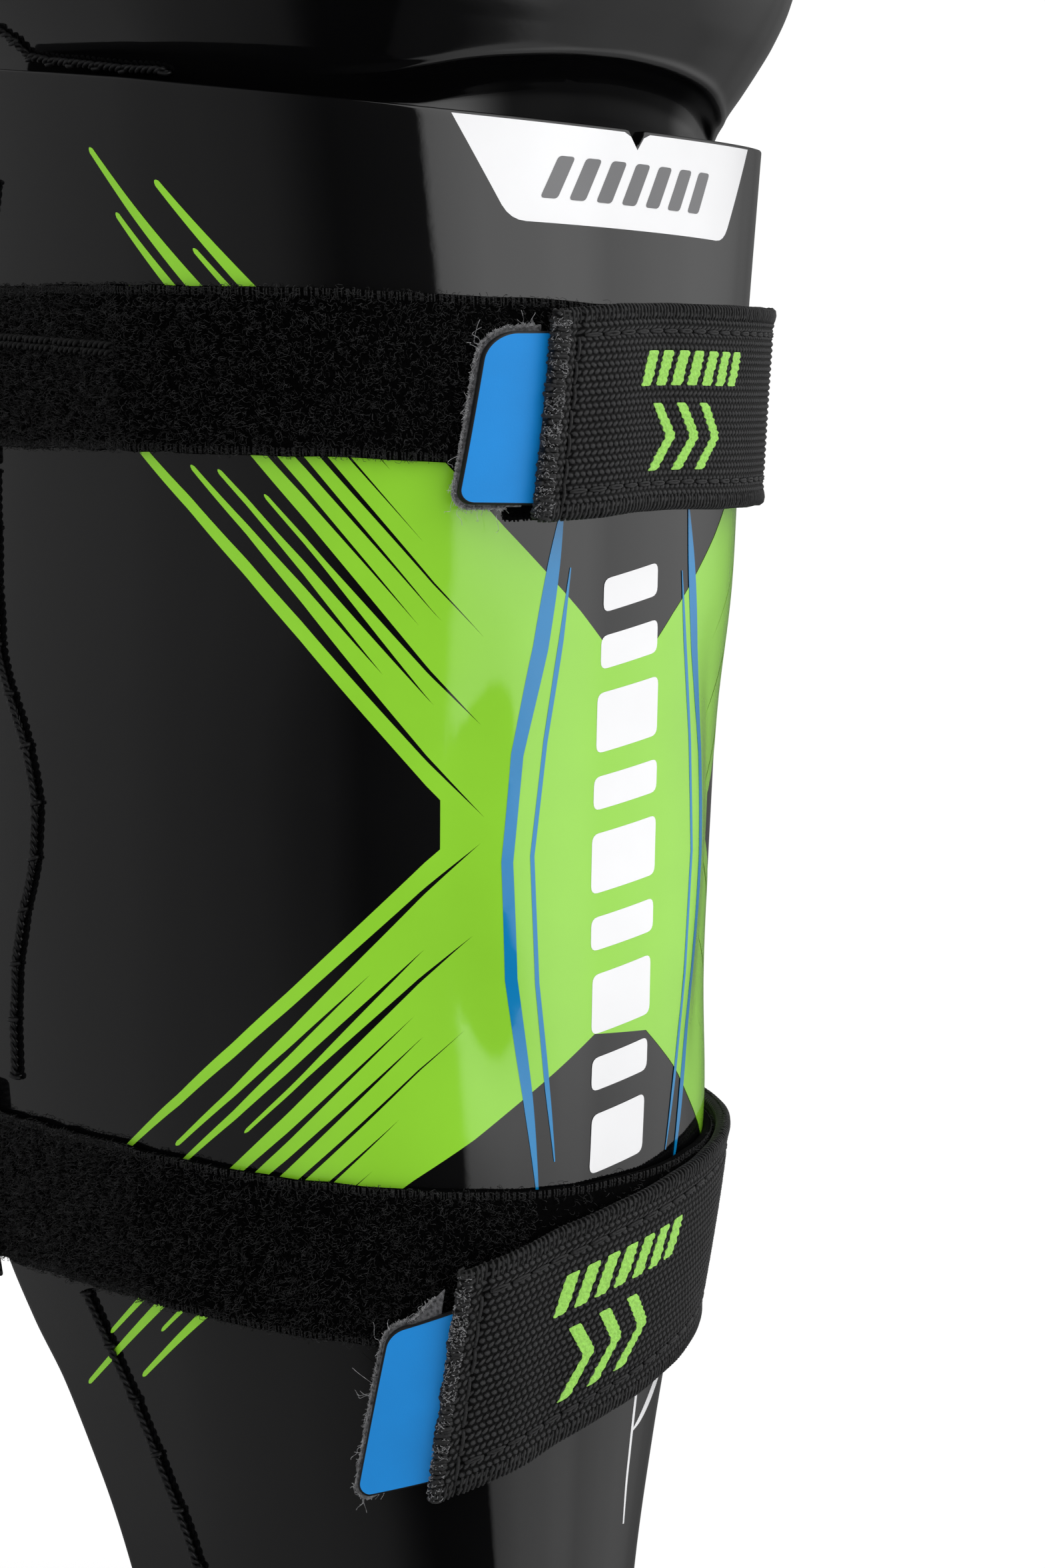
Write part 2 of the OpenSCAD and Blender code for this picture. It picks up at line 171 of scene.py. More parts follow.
def shin_relief(turn, z):
    """Depth of the hollow on each side of the spine."""
    spine = 0.14 + 0.095 * hump(z, RELIEF_Z, 28)
    return (2.3 * np.exp(-(((z - RELIEF_Z) / 34) ** 4))
            * smooth((np.abs(turn) - spine + 0.02) / 0.16)
            * (1 - smooth((np.abs(turn) - 0.58) / 0.34)))


def shin(turn, z, lift=0.0):
    turn, z = np.broadcast_arrays(np.asarray(turn, float), np.asarray(z, float))
    return on_section(SHIN, turn, z, lift - shin_relief(turn, z))


def knee(turn, z, lift=0.0):
    return on_section(KNEE, turn, z, lift)


def thigh(turn, z, lift=0.0):
    return on_section(THIGH, turn, z, lift)


def normal(place, first, second, lift=0.0, steps=(2e-3, 0.05)):
    """Outward unit normals of place(first, second, lift)."""
    first, second = np.asarray(first), np.asarray(second)
    across = place(first + steps[0], second, lift) - place(first - steps[0], second, lift)
    up = place(first, second + steps[1], lift) - place(first, second - steps[1], lift)
    return unit(np.cross(across, up))


def top_edge(turn):
    size = np.abs(turn)
    return 251.7 + 4.6 * np.minimum(size, 1) ** 2 + 4.5 * np.maximum(size - 1, 0)


def bottom_edge(turn):
    return 6 * np.minimum(np.abs(turn), 1.1) ** 2


def shin_rear(z):
    """Turn of the shell's rear edges."""
    return 1 + look_up(SHIN_REAR, z) / SIDE_K


def knee_rear(z):
    return 1 + look_up(KNEE_REAR, z) / SIDE_K


# arc length from the front line, for each height (rows) and turn (columns)
ARC_TURNS = np.linspace(-1.9, 1.9, 1521)
ARC_STEP = 2.5
ARC_Z = np.linspace(0, 275, 111)
ARCS = np.array([run(points) for points in shin(ARC_TURNS[None, :], ARC_Z[:, None])])
ARCS -= ARCS[:, [len(ARC_TURNS) // 2]]


def arc_to_turn(arcs, z):
    rows = np.clip(np.asarray(z, float) / ARC_STEP, 0, len(ARC_Z) - 1.001)
    lower = rows.astype(int)
    return np.array([
        np.interp(arc, ARCS[i] * (1 - part) + ARCS[i + 1] * part, ARC_TURNS)
        for arc, i, part in zip(arcs, lower, rows - lower)])


def on_shell(arcs, z, lift):
    return shin(arc_to_turn(arcs, z), z, lift)


# ------------------------------------------------------------------ mesh helpers
def make(name, shape, materials, smooth_shade=True, uv=None, second_from=None):
    """Object from (vertices, faces, ...). Faces from index second_from take the second material."""
    verts, faces = shape[:2]
    verts = np.asarray(verts, float).reshape(-1, 3) * MM
    mesh = bpy.data.meshes.new(name)
    if isinstance(faces, np.ndarray):
        mesh.vertices.add(len(verts))
        mesh.vertices.foreach_set("co", verts.ravel().astype(np.float32))
        mesh.loops.add(faces.size)
        mesh.loops.foreach_set("vertex_index", faces.ravel().astype(np.int32))
        mesh.polygons.add(len(faces))
        starts = np.arange(0, faces.size, faces.shape[1], dtype=np.int32)
        mesh.polygons.foreach_set("loop_start", starts)
        mesh.update(calc_edges=True)
    else:
        mesh.from_pydata(verts.tolist(), [], faces)
    if smooth_shade:
        mesh.polygons.foreach_set("use_smooth", np.ones(len(mesh.polygons), bool))
    if uv is not None:
        layer = mesh.uv_layers.new(name="UVMap")
        corners = np.empty(len(mesh.loops), np.int32)
        mesh.loops.foreach_get("vertex_index", corners)
        layer.data.foreach_set("uv", uv[corners].astype(np.float32).ravel())
    for material in materials if isinstance(materials, list) else [materials]:
        mesh.materials.append(material)
    if second_from is not None:
        indices = np.zeros(len(faces), np.int32)
        indices[second_from:] = 1
        mesh.polygons.foreach_set("material_index", indices)
    mesh.validate()
    ob = bpy.data.objects.new(name, mesh)
    scene.collection.objects.link(ob)
    return ob


def attach(ob, body, slot, *frame_pieces):
    """The object rides a body of the frame and may stand in for frame pieces; slot is not used."""
    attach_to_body(ob, body)
    if frame_pieces:
        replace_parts(ob, *frame_pieces)


def baked(ob):
    """Mesh of the object with its modifiers applied."""
    graph = bpy.context.evaluated_depsgraph_get()
    return bpy.data.meshes.new_from_object(ob.evaluated_get(graph))


def get_points(mesh):
    """Vertices in metres."""
    points = np.empty(len(mesh.vertices) * 3, np.float32)
    mesh.vertices.foreach_get("co", points)
    return points.reshape(-1, 3).astype(float)


def set_points(mesh, points):
    mesh.vertices.foreach_set("co", points.ravel().astype(np.float32))


def slab(grid, thick, edge, steps=3, top=0.0):
    """Closed sheet with rounded edges, as vertices, quads and the quad count of one face.

    grid(inset, lift) gives the points with the outline moved in by inset. Rows run up and
    columns round to +X. The outer face comes first and the inner face last."""
    outer = grid(edge, top)
    rows, cols = outer.shape[:2]
    ids = np.arange(rows * cols).reshape(rows, cols)
    sheet = np.stack([ids[:-1, :-1], ids[:-1, 1:], ids[1:, 1:], ids[1:, :-1]], -1).reshape(-1, 4)
    rim = np.concatenate([ids[0], ids[1:, -1], ids[-1, -2::-1], ids[-2:0:-1, 0]])
    verts, faces = [outer.reshape(-1, 3)], [sheet]

    def bridge_to(ring):
        faces.append(np.stack([last, ring, np.roll(ring, -1), np.roll(last, -1)], -1))

    front = [(edge * (1 - math.sin(a)), -edge * (1 - math.cos(a)))
             for a in np.linspace(0, math.pi / 2, steps + 1)[1:]]
    back = [(inset, -thick - drop) for inset, drop in front[::-1]]
    if thick <= 2 * edge + 1e-6:
        # both roundings end on the same middle ring
        back = back[1:]
    last, base = rim, rows * cols
    for inset, drop in front + back:
        verts.append(grid(inset, top + drop).reshape(-1, 3)[rim])
        ring = base + np.arange(len(rim))
        bridge_to(ring)
        last = ring
        base += len(ring)
    bridge_to(base + rim)
    verts.append(grid(edge, top - thick).reshape(-1, 3))
    faces.append(sheet[:, ::-1] + base)
    return np.concatenate(verts), np.concatenate(faces), len(sheet)


LOOSE_REF = np.array([0.31, 0.17, 0.93])    # any direction will do for loose fibres


def cross_axes(paths, ref):
    """Two unit axes square to each path, the second one on the side of ref."""
    along = unit(np.gradient(paths, axis=1))
    side = unit(np.cross(along, ref))
    return side, np.cross(side, along)


def tubes(paths, radius, sides=6, ref=LOOSE_REF, caps=True):
    """Tubes along (count, steps, 3) centre lines. radius may be an array of (count, steps)."""
    count, steps = paths.shape[:2]
    side, up = cross_axes(paths, np.broadcast_to(ref, paths.shape))
    angle = (np.arange(sides) * 2 * math.pi / sides)[:, None]
    radius = np.broadcast_to(radius, (count, steps))[:, :, None, None]
    verts = paths[:, :, None] + radius * (np.cos(angle) * side[:, :, None]
                                          + np.sin(angle) * up[:, :, None])
    ids = np.arange(count * steps * sides).reshape(count, steps, sides)
    following = np.roll(ids, -1, axis=2)
    faces = [np.stack([ids[:, :-1], following[:, :-1], following[:, 1:], ids[:, 1:]],
                      -1).reshape(-1, 4)]
    if caps:
        for end, order in ((0, -1), (-1, 1)):
            hub = ids[:, end, 0]
            for i in range(0, sides - 3, 2):
                faces.append(np.stack([hub, hub + i + 1, hub + i + 2, hub + i + 3], -1)[:, ::order])
    return verts.reshape(-1, 3), np.concatenate(faces)


def join(parts):
    verts, faces, base = [], [], 0
    for part_verts, part_faces in parts:
        verts.append(part_verts)
        faces.append(part_faces + base)
        base += len(part_verts)
    return np.concatenate(verts), np.concatenate(faces)


# ------------------------------------------------------------------ shader helpers
class Nodes:
    """Short node builder for one node tree. Values may be sockets, numbers or colours."""

    def __init__(self, owner):
        owner.use_nodes = True
        self.tree = owner.node_tree
        for node in list(self.tree.nodes):
            self.tree.nodes.remove(node)

    def new(self, kind, **settings):
        node = self.tree.nodes.new("ShaderNode" + kind)
        for key, value in settings.items():
            setattr(node, key, value)
        return node

    def feed(self, socket, value):
        if isinstance(value, (int, float)):
            socket.default_value = value
        elif isinstance(value, tuple):
            socket.default_value = (*value, 1)
        else:
            self.tree.links.new(value, socket)

    def math(self, operation, *values, clamp=False):
        node = self.new("Math", operation=operation, use_clamp=clamp)
        for i, value in enumerate(values):
            self.feed(node.inputs[i], value)
        return node.outputs[0]

    def add(self, a, b):
        return self.math("ADD", a, b)

    def sub(self, a, b, clamp=False):
        return self.math("SUBTRACT", a, b, clamp=clamp)

    def mul(self, a, b, clamp=False):
        return self.math("MULTIPLY", a, b, clamp=clamp)

    def div(self, a, b, clamp=False):
        return self.math("DIVIDE", a, b, clamp=clamp)

    def mix(self, factor, a, b, **settings):
        node = self.new("Mix", data_type="RGBA", **settings)
        for i, value in ((0, factor), (6, a), (7, b)):
            self.feed(node.inputs[i], value)
        return node.outputs[2]

    def ramp(self, factor, stops):
        """Grey ramp through (position, value) stops."""
        node = self.new("ValToRGB")
        elements = node.color_ramp.elements
        while len(elements) > 1:
            elements.remove(elements[-1])
        elements[0].position = stops[0][0]
        elements[0].color = (*[stops[0][1]] * 3, 1)
        for position, value in stops[1:]:
            elements.new(position).color = (*[value] * 3, 1)
        self.feed(node.inputs[0], factor)
        return node.outputs[0]

    def noise(self, place, scale, detail):
        node = self.new("TexNoise")
        for key, value in (("Scale", scale), ("Detail", detail), ("Roughness", 0.55),
                           ("Vector", place)):
            self.feed(node.inputs[key], value)
        return node.outputs["Fac"]

    def bump(self, height, strength, distance):
        """distance is in metres."""
        node = self.new("Bump")
        for key, value in (("Strength", strength), ("Distance", distance), ("Height", height)):
            self.feed(node.inputs[key], value)
        return node.outputs[0]

    def coordinates(self, kind):
        return self.new("TexCoord").outputs[kind]

    def split(self, vector):
        node = self.new("SeparateXYZ")
        self.feed(node.inputs[0], vector)
        return node.outputs

    def shader(self, kind, *values):
        """Shader node with its inputs in order; None leaves an input as it is."""
        node = self.new(kind)
        for i, value in enumerate(values):
            if value is not None:
                self.feed(node.inputs[i], value)
        return node.outputs[0]


class Material:
    """New material with one Principled shader on its output."""

    def __init__(self, name):
        self.data = bpy.data.materials.new(name)
        self.nodes = Nodes(self.data)
        self.output = self.nodes.new("OutputMaterial")
        self.bsdf = self.nodes.new("BsdfPrincipled")
        self.nodes.feed(self.output.inputs[0], self.bsdf.outputs[0])

    def set(self, **values):
        """Sets shader inputs; an underscore stands for a space."""
        for key, value in values.items():
            self.nodes.feed(self.bsdf.inputs[key.replace("_", " ")], value)


def scaled(colour, factor, extra=0.0):
    return tuple(min(1, value * factor + extra) for value in colour)


# ------------------------------------------------------------------ materials
def gloss_plastic(name, colour, roughness, coat, painted_shade_by=None):
    """Moulded glossy plastic: faint orange peel, with rub marks in the roughness.

    The last argument names an attribute that takes the specular away where it is 1: painted shade,
    the plastic kept dark where it lies in shade."""
    material = Material(name)
    n = material.nodes
    place = n.coordinates("Object")
    wide = n.noise(place, scale=24, detail=3)
    stretch = n.new("Mapping")
    stretch.inputs["Scale"].default_value = (1500, 1500, 130)
    stretch.inputs["Rotation"].default_value = (0.35, 0.2, 0.9)
    n.feed(stretch.inputs[0], place)
    streaks = n.noise(stretch.outputs[0], scale=1.0, detail=2)
    rub_marks = n.ramp(streaks, [(0.0, 0), (0.72, 0), (0.80, 1)])
    wide_effect, rub_effect = 0.07, 0.10
    rough = n.add(n.mul(n.sub(wide, 0.5), wide_effect), roughness)
    patches = n.ramp(wide, [(0.35, 0), (0.7, 1)])
    fine_grain = n.mul(n.noise(place, scale=900, detail=2), 0.25)
    peel = n.mul(n.noise(place, scale=160, detail=2), 1.0)
    coat_peel = n.noise(place, scale=90, detail=2)
    material.set(
        Roughness=n.add(rough, n.mul(rub_marks, rub_effect)),
        Base_Color=n.mix(patches, scaled(colour, 0.93), scaled(colour, 1.05, extra=0.0005)),
        Normal=n.bump(n.add(fine_grain, peel), strength=0.06, distance=0.0002),
        IOR=1.5, Coat_Weight=coat, Coat_Roughness=0.03,
        Coat_Normal=n.bump(coat_peel, strength=0.03, distance=0.0004))
    # painted shade: less specular where the attribute is 1
    if painted_shade_by:
        attribute = n.new("Attribute", attribute_name=painted_shade_by)
        full_specular, painted_shade_loss = 0.5, 0.47
        material.set(Specular_IOR_Level=n.sub(full_specular, n.mul(attribute.outputs["Fac"], painted_shade_loss)))
    return material.data


def knit_height(n, x, y, pitch):
    """Staggered round knots."""
    row_pitch, column_pitch = pitch * 0.8, pitch * 1.25
    row = n.math("FLOOR", n.div(y, row_pitch))
    from_row = n.sub(n.math("FRACT", n.div(y, row_pitch)), 0.5)
    stagger = n.mul(n.math("MODULO", n.math("ABSOLUTE", row), 2.0), 0.5)
    keep_positive = 200.0
    column = n.add(n.add(n.div(x, column_pitch), stagger), keep_positive)
    from_column = n.sub(n.math("FRACT", column), 0.5)
    squares = [n.math("POWER", n.math("ABSOLUTE", value), 2.0)
               for value in (from_column, from_row)]
    distance = n.math("SQRT", n.add(*squares))
    return n.sub(1.0, n.mul(distance, 2.0), clamp=True)


def twill_height(n, x, y, pitch):
    """Short slanted ribs."""
    keep_positive = 300.0
    slanted = n.add(x, n.mul(y, 0.5))
    rib = n.math("FRACT", n.add(n.div(slanted, pitch), keep_positive))
    row = n.math("FRACT", n.add(n.div(y, pitch * 0.5), keep_positive))
    return n.mul(n.math("SINE", n.mul(rib, math.pi)), n.math("SINE", n.mul(row, math.pi)))


def plain_height(n, x, y, pitch):
    """Plain weave."""
    waves = [n.math("SINE", n.mul(value, 2 * math.pi / pitch)) for value in (x, y)]
    return n.math("MULTIPLY_ADD", n.mul(*waves), 0.5, 0.5)


def fabric(name, dark, light, weave, pitch, rough, sheen, bump):
    """Textile with a cell pattern of the given pitch, painted lighter on its raised cells and
    darker in the hollows between them as shade.
    """
    material = Material(name)
    n = material.nodes
    place = n.coordinates("Object")
    place_x, place_y, place_z = n.split(place)
    x = n.mul(n.add(place_x, n.mul(place_y, 0.9)), 1000.0)  # metres to millimetres
    y = n.mul(place_z, 1000.0)
    height = weave(n, x, y, pitch)
    fuzz = n.noise(place, scale=2500, detail=3)
    blotch = n.noise(place, scale=60, detail=3)
    # painted shade: the colour follows the weave's height and is dark in its hollows; fuzz and
    # blotch add random tone
    shade = n.mul(height, n.add(0.55, n.mul(fuzz, 0.8)), clamp=True)
    colour = n.mix(n.mul(blotch, 0.25), n.mix(shade, dark, light), scaled(dark, 0.8))
    material.set(Base_Color=colour, Roughness=rough, Sheen_Weight=sheen, Sheen_Roughness=0.5,
                 Specular_IOR_Level=0.25,
                 Normal=n.bump(n.add(height, n.mul(fuzz, 0.5)), strength=bump, distance=0.00035))
    return material.data


def fibre(name, colour, rough, sheen=0.0, scale=1800.0, spread=0.7, specular=0.3):
    """Yarn or matted fibre; spread is how far its shade varies."""
    material = Material(name)
    n = material.nodes
    shade = n.ramp(n.noise(n.coordinates("Object"), scale=scale, detail=2), [(0.3, 0), (0.7, 1)])
    grain = n.noise(n.coordinates("Object"), scale=5200, detail=2)
    material.set(Base_Color=n.mix(shade, scaled(colour, 1 - spread), scaled(colour, 1 + spread)),
                 Roughness=rough, Sheen_Weight=sheen, Specular_IOR_Level=specular,
                 Normal=n.bump(grain, strength=0.4, distance=0.0001))
    return material.data


def rubber(name, colour, rough, specular):
    """Soft moulded rubber: satin, with fine matt grain."""
    material = Material(name)
    n = material.nodes
    place = n.coordinates("Object")
    wide = n.noise(place, scale=70, detail=3)
    grain = n.noise(place, scale=3500, detail=3)
    grain_effect = 0.2
    material.set(Base_Color=n.mix(wide, scaled(colour, 0.86), scaled(colour, 1.1)),
                 Roughness=n.add(rough - 0.08, n.mul(grain, grain_effect)),
                 Normal=n.bump(grain, strength=0.12, distance=0.0001),
                 Specular_IOR_Level=specular)
    return material.data


# pitch of the elastic's knots, along and across, and the tilt of each knot as cosine and sine
KNOT_X, KNOT_Y = 1.10, 0.98
TILT_COS, TILT_SIN = 0.84, 0.54
KNOT_LONG, KNOT_SHORT = 2.5, 6.0    # how fast a knot falls off along its two axes


def knit(along, across):
    """Height of the elastic's knots, 0 to 1."""
    row = np.floor(across / KNOT_Y + 0.5)
    from_row = across / KNOT_Y - row
    odd = np.mod(np.abs(row), 2)
    waver = 0.10 * np.sin(1.9 * across) + 0.08 * np.sin(0.83 * across + 1)
    from_column = np.mod((along + waver) / KNOT_X + 0.5 * odd + 0.5, 1) - 0.5
    sine = TILT_SIN * (1 - 2 * odd)
    long = TILT_COS * from_column + sine * from_row
    short = TILT_COS * from_row - sine * from_column
    return np.clip(1 - KNOT_LONG * long**2 - KNOT_SHORT * short**2, 0, 1)


def elastic_webbing(name, dark, light):
    """The knots of knit() in twisted yarn, painted lighter on the knots and dark in the gaps
    between them as shade; UVs are millimetres along and across.
    """
    material = Material(name)
    n = material.nodes
    x, y, _ = n.split(n.coordinates("UV"))
    row = n.math("FLOOR", n.add(n.div(y, KNOT_Y), 0.5))
    from_row = n.sub(n.div(y, KNOT_Y), row)
    stagger = n.mul(n.math("MODULO", n.math("ABSOLUTE", row), 2.0), 0.5)
    waver = n.add(n.mul(n.math("SINE", n.mul(y, 1.9)), 0.10),
                  n.mul(n.math("SINE", n.add(n.mul(y, 0.83), 1.0)), 0.08))
    keep_positive = 200.5
    column = n.add(n.add(n.div(n.add(x, waver), KNOT_X), stagger), keep_positive)
    from_column = n.sub(n.math("FRACT", column), 0.5)
    sine = n.mul(n.sub(1.0, n.mul(stagger, 4.0)), TILT_SIN)
    long = n.add(n.mul(from_column, TILT_COS), n.mul(from_row, sine))
    short = n.sub(n.mul(from_row, TILT_COS), n.mul(from_column, sine))
    fall = n.add(n.mul(n.mul(long, long), KNOT_LONG), n.mul(n.mul(short, short), KNOT_SHORT))
    height = n.sub(1.0, fall, clamp=True)
    # fine slanted lines across each knot
    twist = n.math("SINE", n.add(n.mul(x, 21.0), n.mul(y, 27.0)))
    place = n.coordinates("Object")
    fuzz = n.noise(place, scale=3800, detail=2)
    wide = n.noise(place, scale=120, detail=2)
    # painted shade: the colour follows knot height, so the gaps between the knots are dark; fuzz
    # and wide noise add random tone
    shade = n.ramp(n.add(height, n.mul(n.sub(fuzz, 0.5), 0.85)), [(0.34, 0), (0.74, 1)])
    shade = n.mul(shade, n.add(0.86, n.mul(twist, 0.14)))
    shade = n.mul(shade, n.add(0.75, n.mul(wide, 0.5)))
    surface = n.add(height, n.add(n.mul(twist, 0.08), n.mul(fuzz, 0.25)))
    material.set(Base_Color=n.mix(shade, dark, light), Roughness=0.8, Specular_IOR_Level=0.2,
                 Sheen_Weight=0.04, Normal=n.bump(surface, strength=0.6, distance=0.00030))
    return material.data


BLACK = gloss_plastic("shell_black_gloss", (0.0016, 0.0016, 0.0018), roughness=0.05, coat=0.0)
INNER = gloss_plastic("shell_inner_satin", (0.012, 0.012, 0.013), roughness=0.38, coat=0.0)
# the under attribute paints shade on the knee skirt by taking its specular away
KNEE_BLACK = gloss_plastic("knee_black_gloss", (0.0016, 0.0016, 0.0018), roughness=0.05,
                           coat=0.0, painted_shade_by="under")
LIME = gloss_plastic("film_lime", (0.26, 0.62, 0.03), roughness=0.10, coat=0.25)
BLUE = gloss_plastic("film_blue", (0.001, 0.20, 0.47), roughness=0.10, coat=0.1)
WHITE = gloss_plastic("film_white", (0.82, 0.82, 0.83), roughness=0.10, coat=0.25)
GREY = gloss_plastic("film_grey", (0.10, 0.10, 0.105), roughness=0.12, coat=0.2)
TAB = rubber("tab_blue_rubber", (0.003, 0.235, 0.66), rough=0.42, specular=0.28)
TAB_BACK = rubber("tab_dark_back", (0.004, 0.0045, 0.005), rough=0.6, specular=0.5)
# painted light: the pile is coloured far lighter than the base it grows from, a painted highlight
# on the loops, and the base is nearly black, a painted shade under them
TAPE_BASE = fibre("loop_tape_base", (0.0004, 0.0004, 0.00045), rough=0.95, specular=0.05)
TAPE_PILE = fibre("loop_tape_pile", (0.020, 0.020, 0.0205), rough=0.5, scale=900.0, spread=0.9)
TAPE_EDGE = fabric("loop_tape_selvage", (0.002, 0.002, 0.002), (0.026, 0.026, 0.027),
                   plain_height, pitch=0.55, rough=0.8, sheen=0.0, bump=0.5)
ELASTIC = elastic_webbing("elastic_knit.001", (0.0006, 0.0006, 0.0007), (0.038, 0.038, 0.039))
ELASTIC_RIB = fibre("elastic_rib.001", (0.017, 0.017, 0.0175), rough=0.8, sheen=0.05,
                    scale=2600.0, spread=0.5)
STRAP_PRINT = fibre("strap_print_lime", (0.30, 0.62, 0.10), rough=0.75, sheen=0.15,
                    scale=2600.0, spread=0.18)
FRAY = fibre("frayed_rubber_ends", (0.20, 0.20, 0.205), rough=0.7, scale=2600.0, spread=0.5)
THREAD = fibre("waxed_thread", (0.009, 0.009, 0.0095), rough=0.4)
THREAD_DARK = fibre("dark_twisted_thread", (0.0035, 0.0035, 0.0037), rough=0.5)
FELT = fibre("hook_felt", (0.10, 0.10, 0.105), rough=0.9, sheen=0.3)
FELT_EDGE = fibre("hook_felt_edge", (0.33, 0.33, 0.34), rough=0.9, sheen=0.3)
LINER = fabric("liner_knit", (0.010, 0.010, 0.011), (0.040, 0.040, 0.043), knit_height,
               pitch=1.6, rough=0.95, sheen=0.35, bump=0.5)
PAD_MESH = fabric("pad_mesh", (0.006, 0.006, 0.0065), (0.05, 0.05, 0.054), twill_height,
                  pitch=2.2, rough=0.9, sheen=0.3, bump=0.7)
FOAM = fibre("closed_cell_foam", (0.06, 0.06, 0.065), rough=0.85, scale=1200.0, spread=0.25)
BINDING = fabric("edge_binding", (0.006, 0.006, 0.0065), (0.035, 0.035, 0.037), plain_height,
                 pitch=0.7, rough=0.85, sheen=0.2, bump=0.5)


# ------------------------------------------------------------------ shin shell
NOTCH_HALF, NOTCH_DEPTH = 0.016, 2.5    # V notch in the top edge: half width in turn, depth


def notch(turn):
    size = np.abs(turn)
    return np.where(size < NOTCH_HALF, NOTCH_DEPTH * (1 - size / NOTCH_HALF), 0.0)


def shell_columns(count):
    """Even columns from -1 to 1, with closer ones at the notch."""
    even = np.linspace(-1, 1, count)
    close = np.array([0.002, 0.0043, 0.0065, 0.0088, 0.012])
    return np.sort(np.concatenate([even[np.abs(even) > 0.0135], -close, [0.0], close]))


SHELL_COLUMNS = shell_columns(detail(150, 240))
SHELL_ROWS = np.linspace(0, 1, detail(150, 260))


def shell_grid(inset, lift):
    column, row = np.meshgrid(SHELL_COLUMNS, SHELL_ROWS)
    turn = column * 1.85
    # height and rear edge depend on each other, so close in on both
    for _ in range(3):
        low = bottom_edge(turn) + inset
        high = top_edge(turn) + 0.15 - notch(turn) - inset
        z = low + (high - low) * row
        turn = column * (shin_rear(z) - inset / SIDE_K)
    # the plastic flares a little towards its hem
    return shin(turn, z, lift + 0.9 * hump(z, bottom_edge(turn), 5.0))


def build_shell():
    shape = slab(shell_grid, SHELL_T, edge=0.5)
    ob = make("Shin_shell", shape, [BLACK, INNER], second_from=-shape[2])
    attach(ob, "root", "shell_plastic", "shin_shell")


build_shell()


# ------------------------------------------------------------------ film helpers
FILM_LIFT, OVER_LIFT = 0.06, 0.11   # films on the plastic, and those over or beside them


def dense(outline, step):
    """The closed outline with points no further apart than step."""
    points = []
    for i, start in enumerate(outline):
        end = outline[(i + 1) % len(outline)]
        dx, dy = end[0] - start[0], end[1] - start[1]
        count = max(1, int(math.ceil(math.hypot(dx, dy) / step)))
        points += [(start[0] + dx * j / count, start[1] + dy * j / count) for j in range(count)]
    return points


def inside(points, outline):
    x, y = points[:, 0], points[:, 1]
    result = np.zeros(len(points), bool)
    for i, (x0, y0) in enumerate(outline):
        x1, y1 = outline[(i + 1) % len(outline)]
        result ^= ((y0 > y) != (y1 > y)) & (x < (x1 - x0) * (y - y0) / (y1 - y0 + 1e-12) + x0)
    return result


def film(name, outlines, material, slot, lift, step, grid=1.6, body="root", place=on_shell,
         thick=0.04):
    """Thin film from flat outlines, laid by place(first, second, lift).

    On the shell an outline is in (arc length from the front line, height)."""
    verts, faces, base = [], [], 0
    for outline in outlines:
        rim = np.array(dense(outline, step))
        count = len(rim)
        low, high = rim.min(0), rim.max(0)
        grid_x, grid_y = np.meshgrid(np.arange(low[0], high[0], grid),
                                     np.arange(low[1], high[1], grid))
        fill = np.stack([grid_x.ravel(), grid_y.ravel()], -1)
        fill = fill[inside(fill, outline)]
        # keep clear of the outline
        away = np.min(np.hypot(fill[:, None, 0] - rim[None, :, 0],
                               fill[:, None, 1] - rim[None, :, 1]), axis=1)
        fill = fill[away > grid * 0.45]
        points = [Vector((x, y)) for x, y in [*rim, *fill]]
        edges = [(i, (i + 1) % count) for i in range(count)]
        flat, _, triangles, _, _, _ = geometry.delaunay_2d_cdt(
            points, edges, [list(range(count))], 1, 1e-6)
        flat = np.array([(point[0], point[1]) for point in flat])
        verts.append(place(flat[:, 0], flat[:, 1], lift))
        faces += [[i + base for i in triangle] for triangle in triangles]
        base += len(flat)
    ob = make(name, (np.concatenate(verts), faces), material)
    # faces look outwards
    centres = np.array([face.center for face in ob.data.polygons])
    normals = np.array([face.normal for face in ob.data.polygons])
    inward = (centres[:, :2] * normals[:, :2]).sum(1) < 0
    if inward.sum() > len(centres) / 2:
        ob.data.flip_normals()
    solidify = ob.modifiers.new("thick", "SOLIDIFY")
    solidify.thickness = thick * MM
    solidify.offset = -1
    solid = baked(ob)
    ob.modifiers.clear()
    ob.data = solid
    solid.set_sharp_from_angle(angle=math.radians(50))
    attach(ob, body, slot)


def mirror(outline):
    return [(-x, z) for x, z in outline][::-1]


def ribbon(path, widths, straight=False):
    """Closed outline of a stroke of varying width along a path."""
    path = np.array(path, float)
    travel = run(path)
    fine = np.linspace(0, travel[-1], 60)
    if straight:
        fine = np.union1d(fine, travel)
        x, y = (np.interp(fine, travel, path[:, i]) for i in (0, 1))
    else:
        x, y = (curve(fine, travel, path[:, i]) for i in (0, 1))
    half = curve(fine, travel, np.array(widths, float)) / 2
    dx, dy = np.gradient(x), np.gradient(y)
    length = np.hypot(dx, dy)
    shift_x, shift_y = -dy / length * half, dx / length * half
    return list(zip(x + shift_x, y + shift_y)) + list(zip(x - shift_x, y - shift_y))[::-1]


def rounded(corners, radius, steps=4):
    """Closed outline with its corners rounded."""
    points = []
    for i, corner in enumerate(corners):
        corner = np.array(corner)
        to_last = np.array(corners[i - 1]) - corner
        to_next = np.array(corners[(i + 1) % len(corners)]) - corner
        last_length, next_length = np.linalg.norm(to_last), np.linalg.norm(to_next)
        cut = min(radius, last_length * 0.45, next_length * 0.45)
        start = corner + to_last / last_length * cut
        end = corner + to_next / next_length * cut
        for j in range(steps + 1):
            part = j / steps
            point = (1 - part) ** 2 * start + 2 * part * (1 - part) * corner + part * part * end
            points.append((float(point[0]), float(point[1])))
    return points


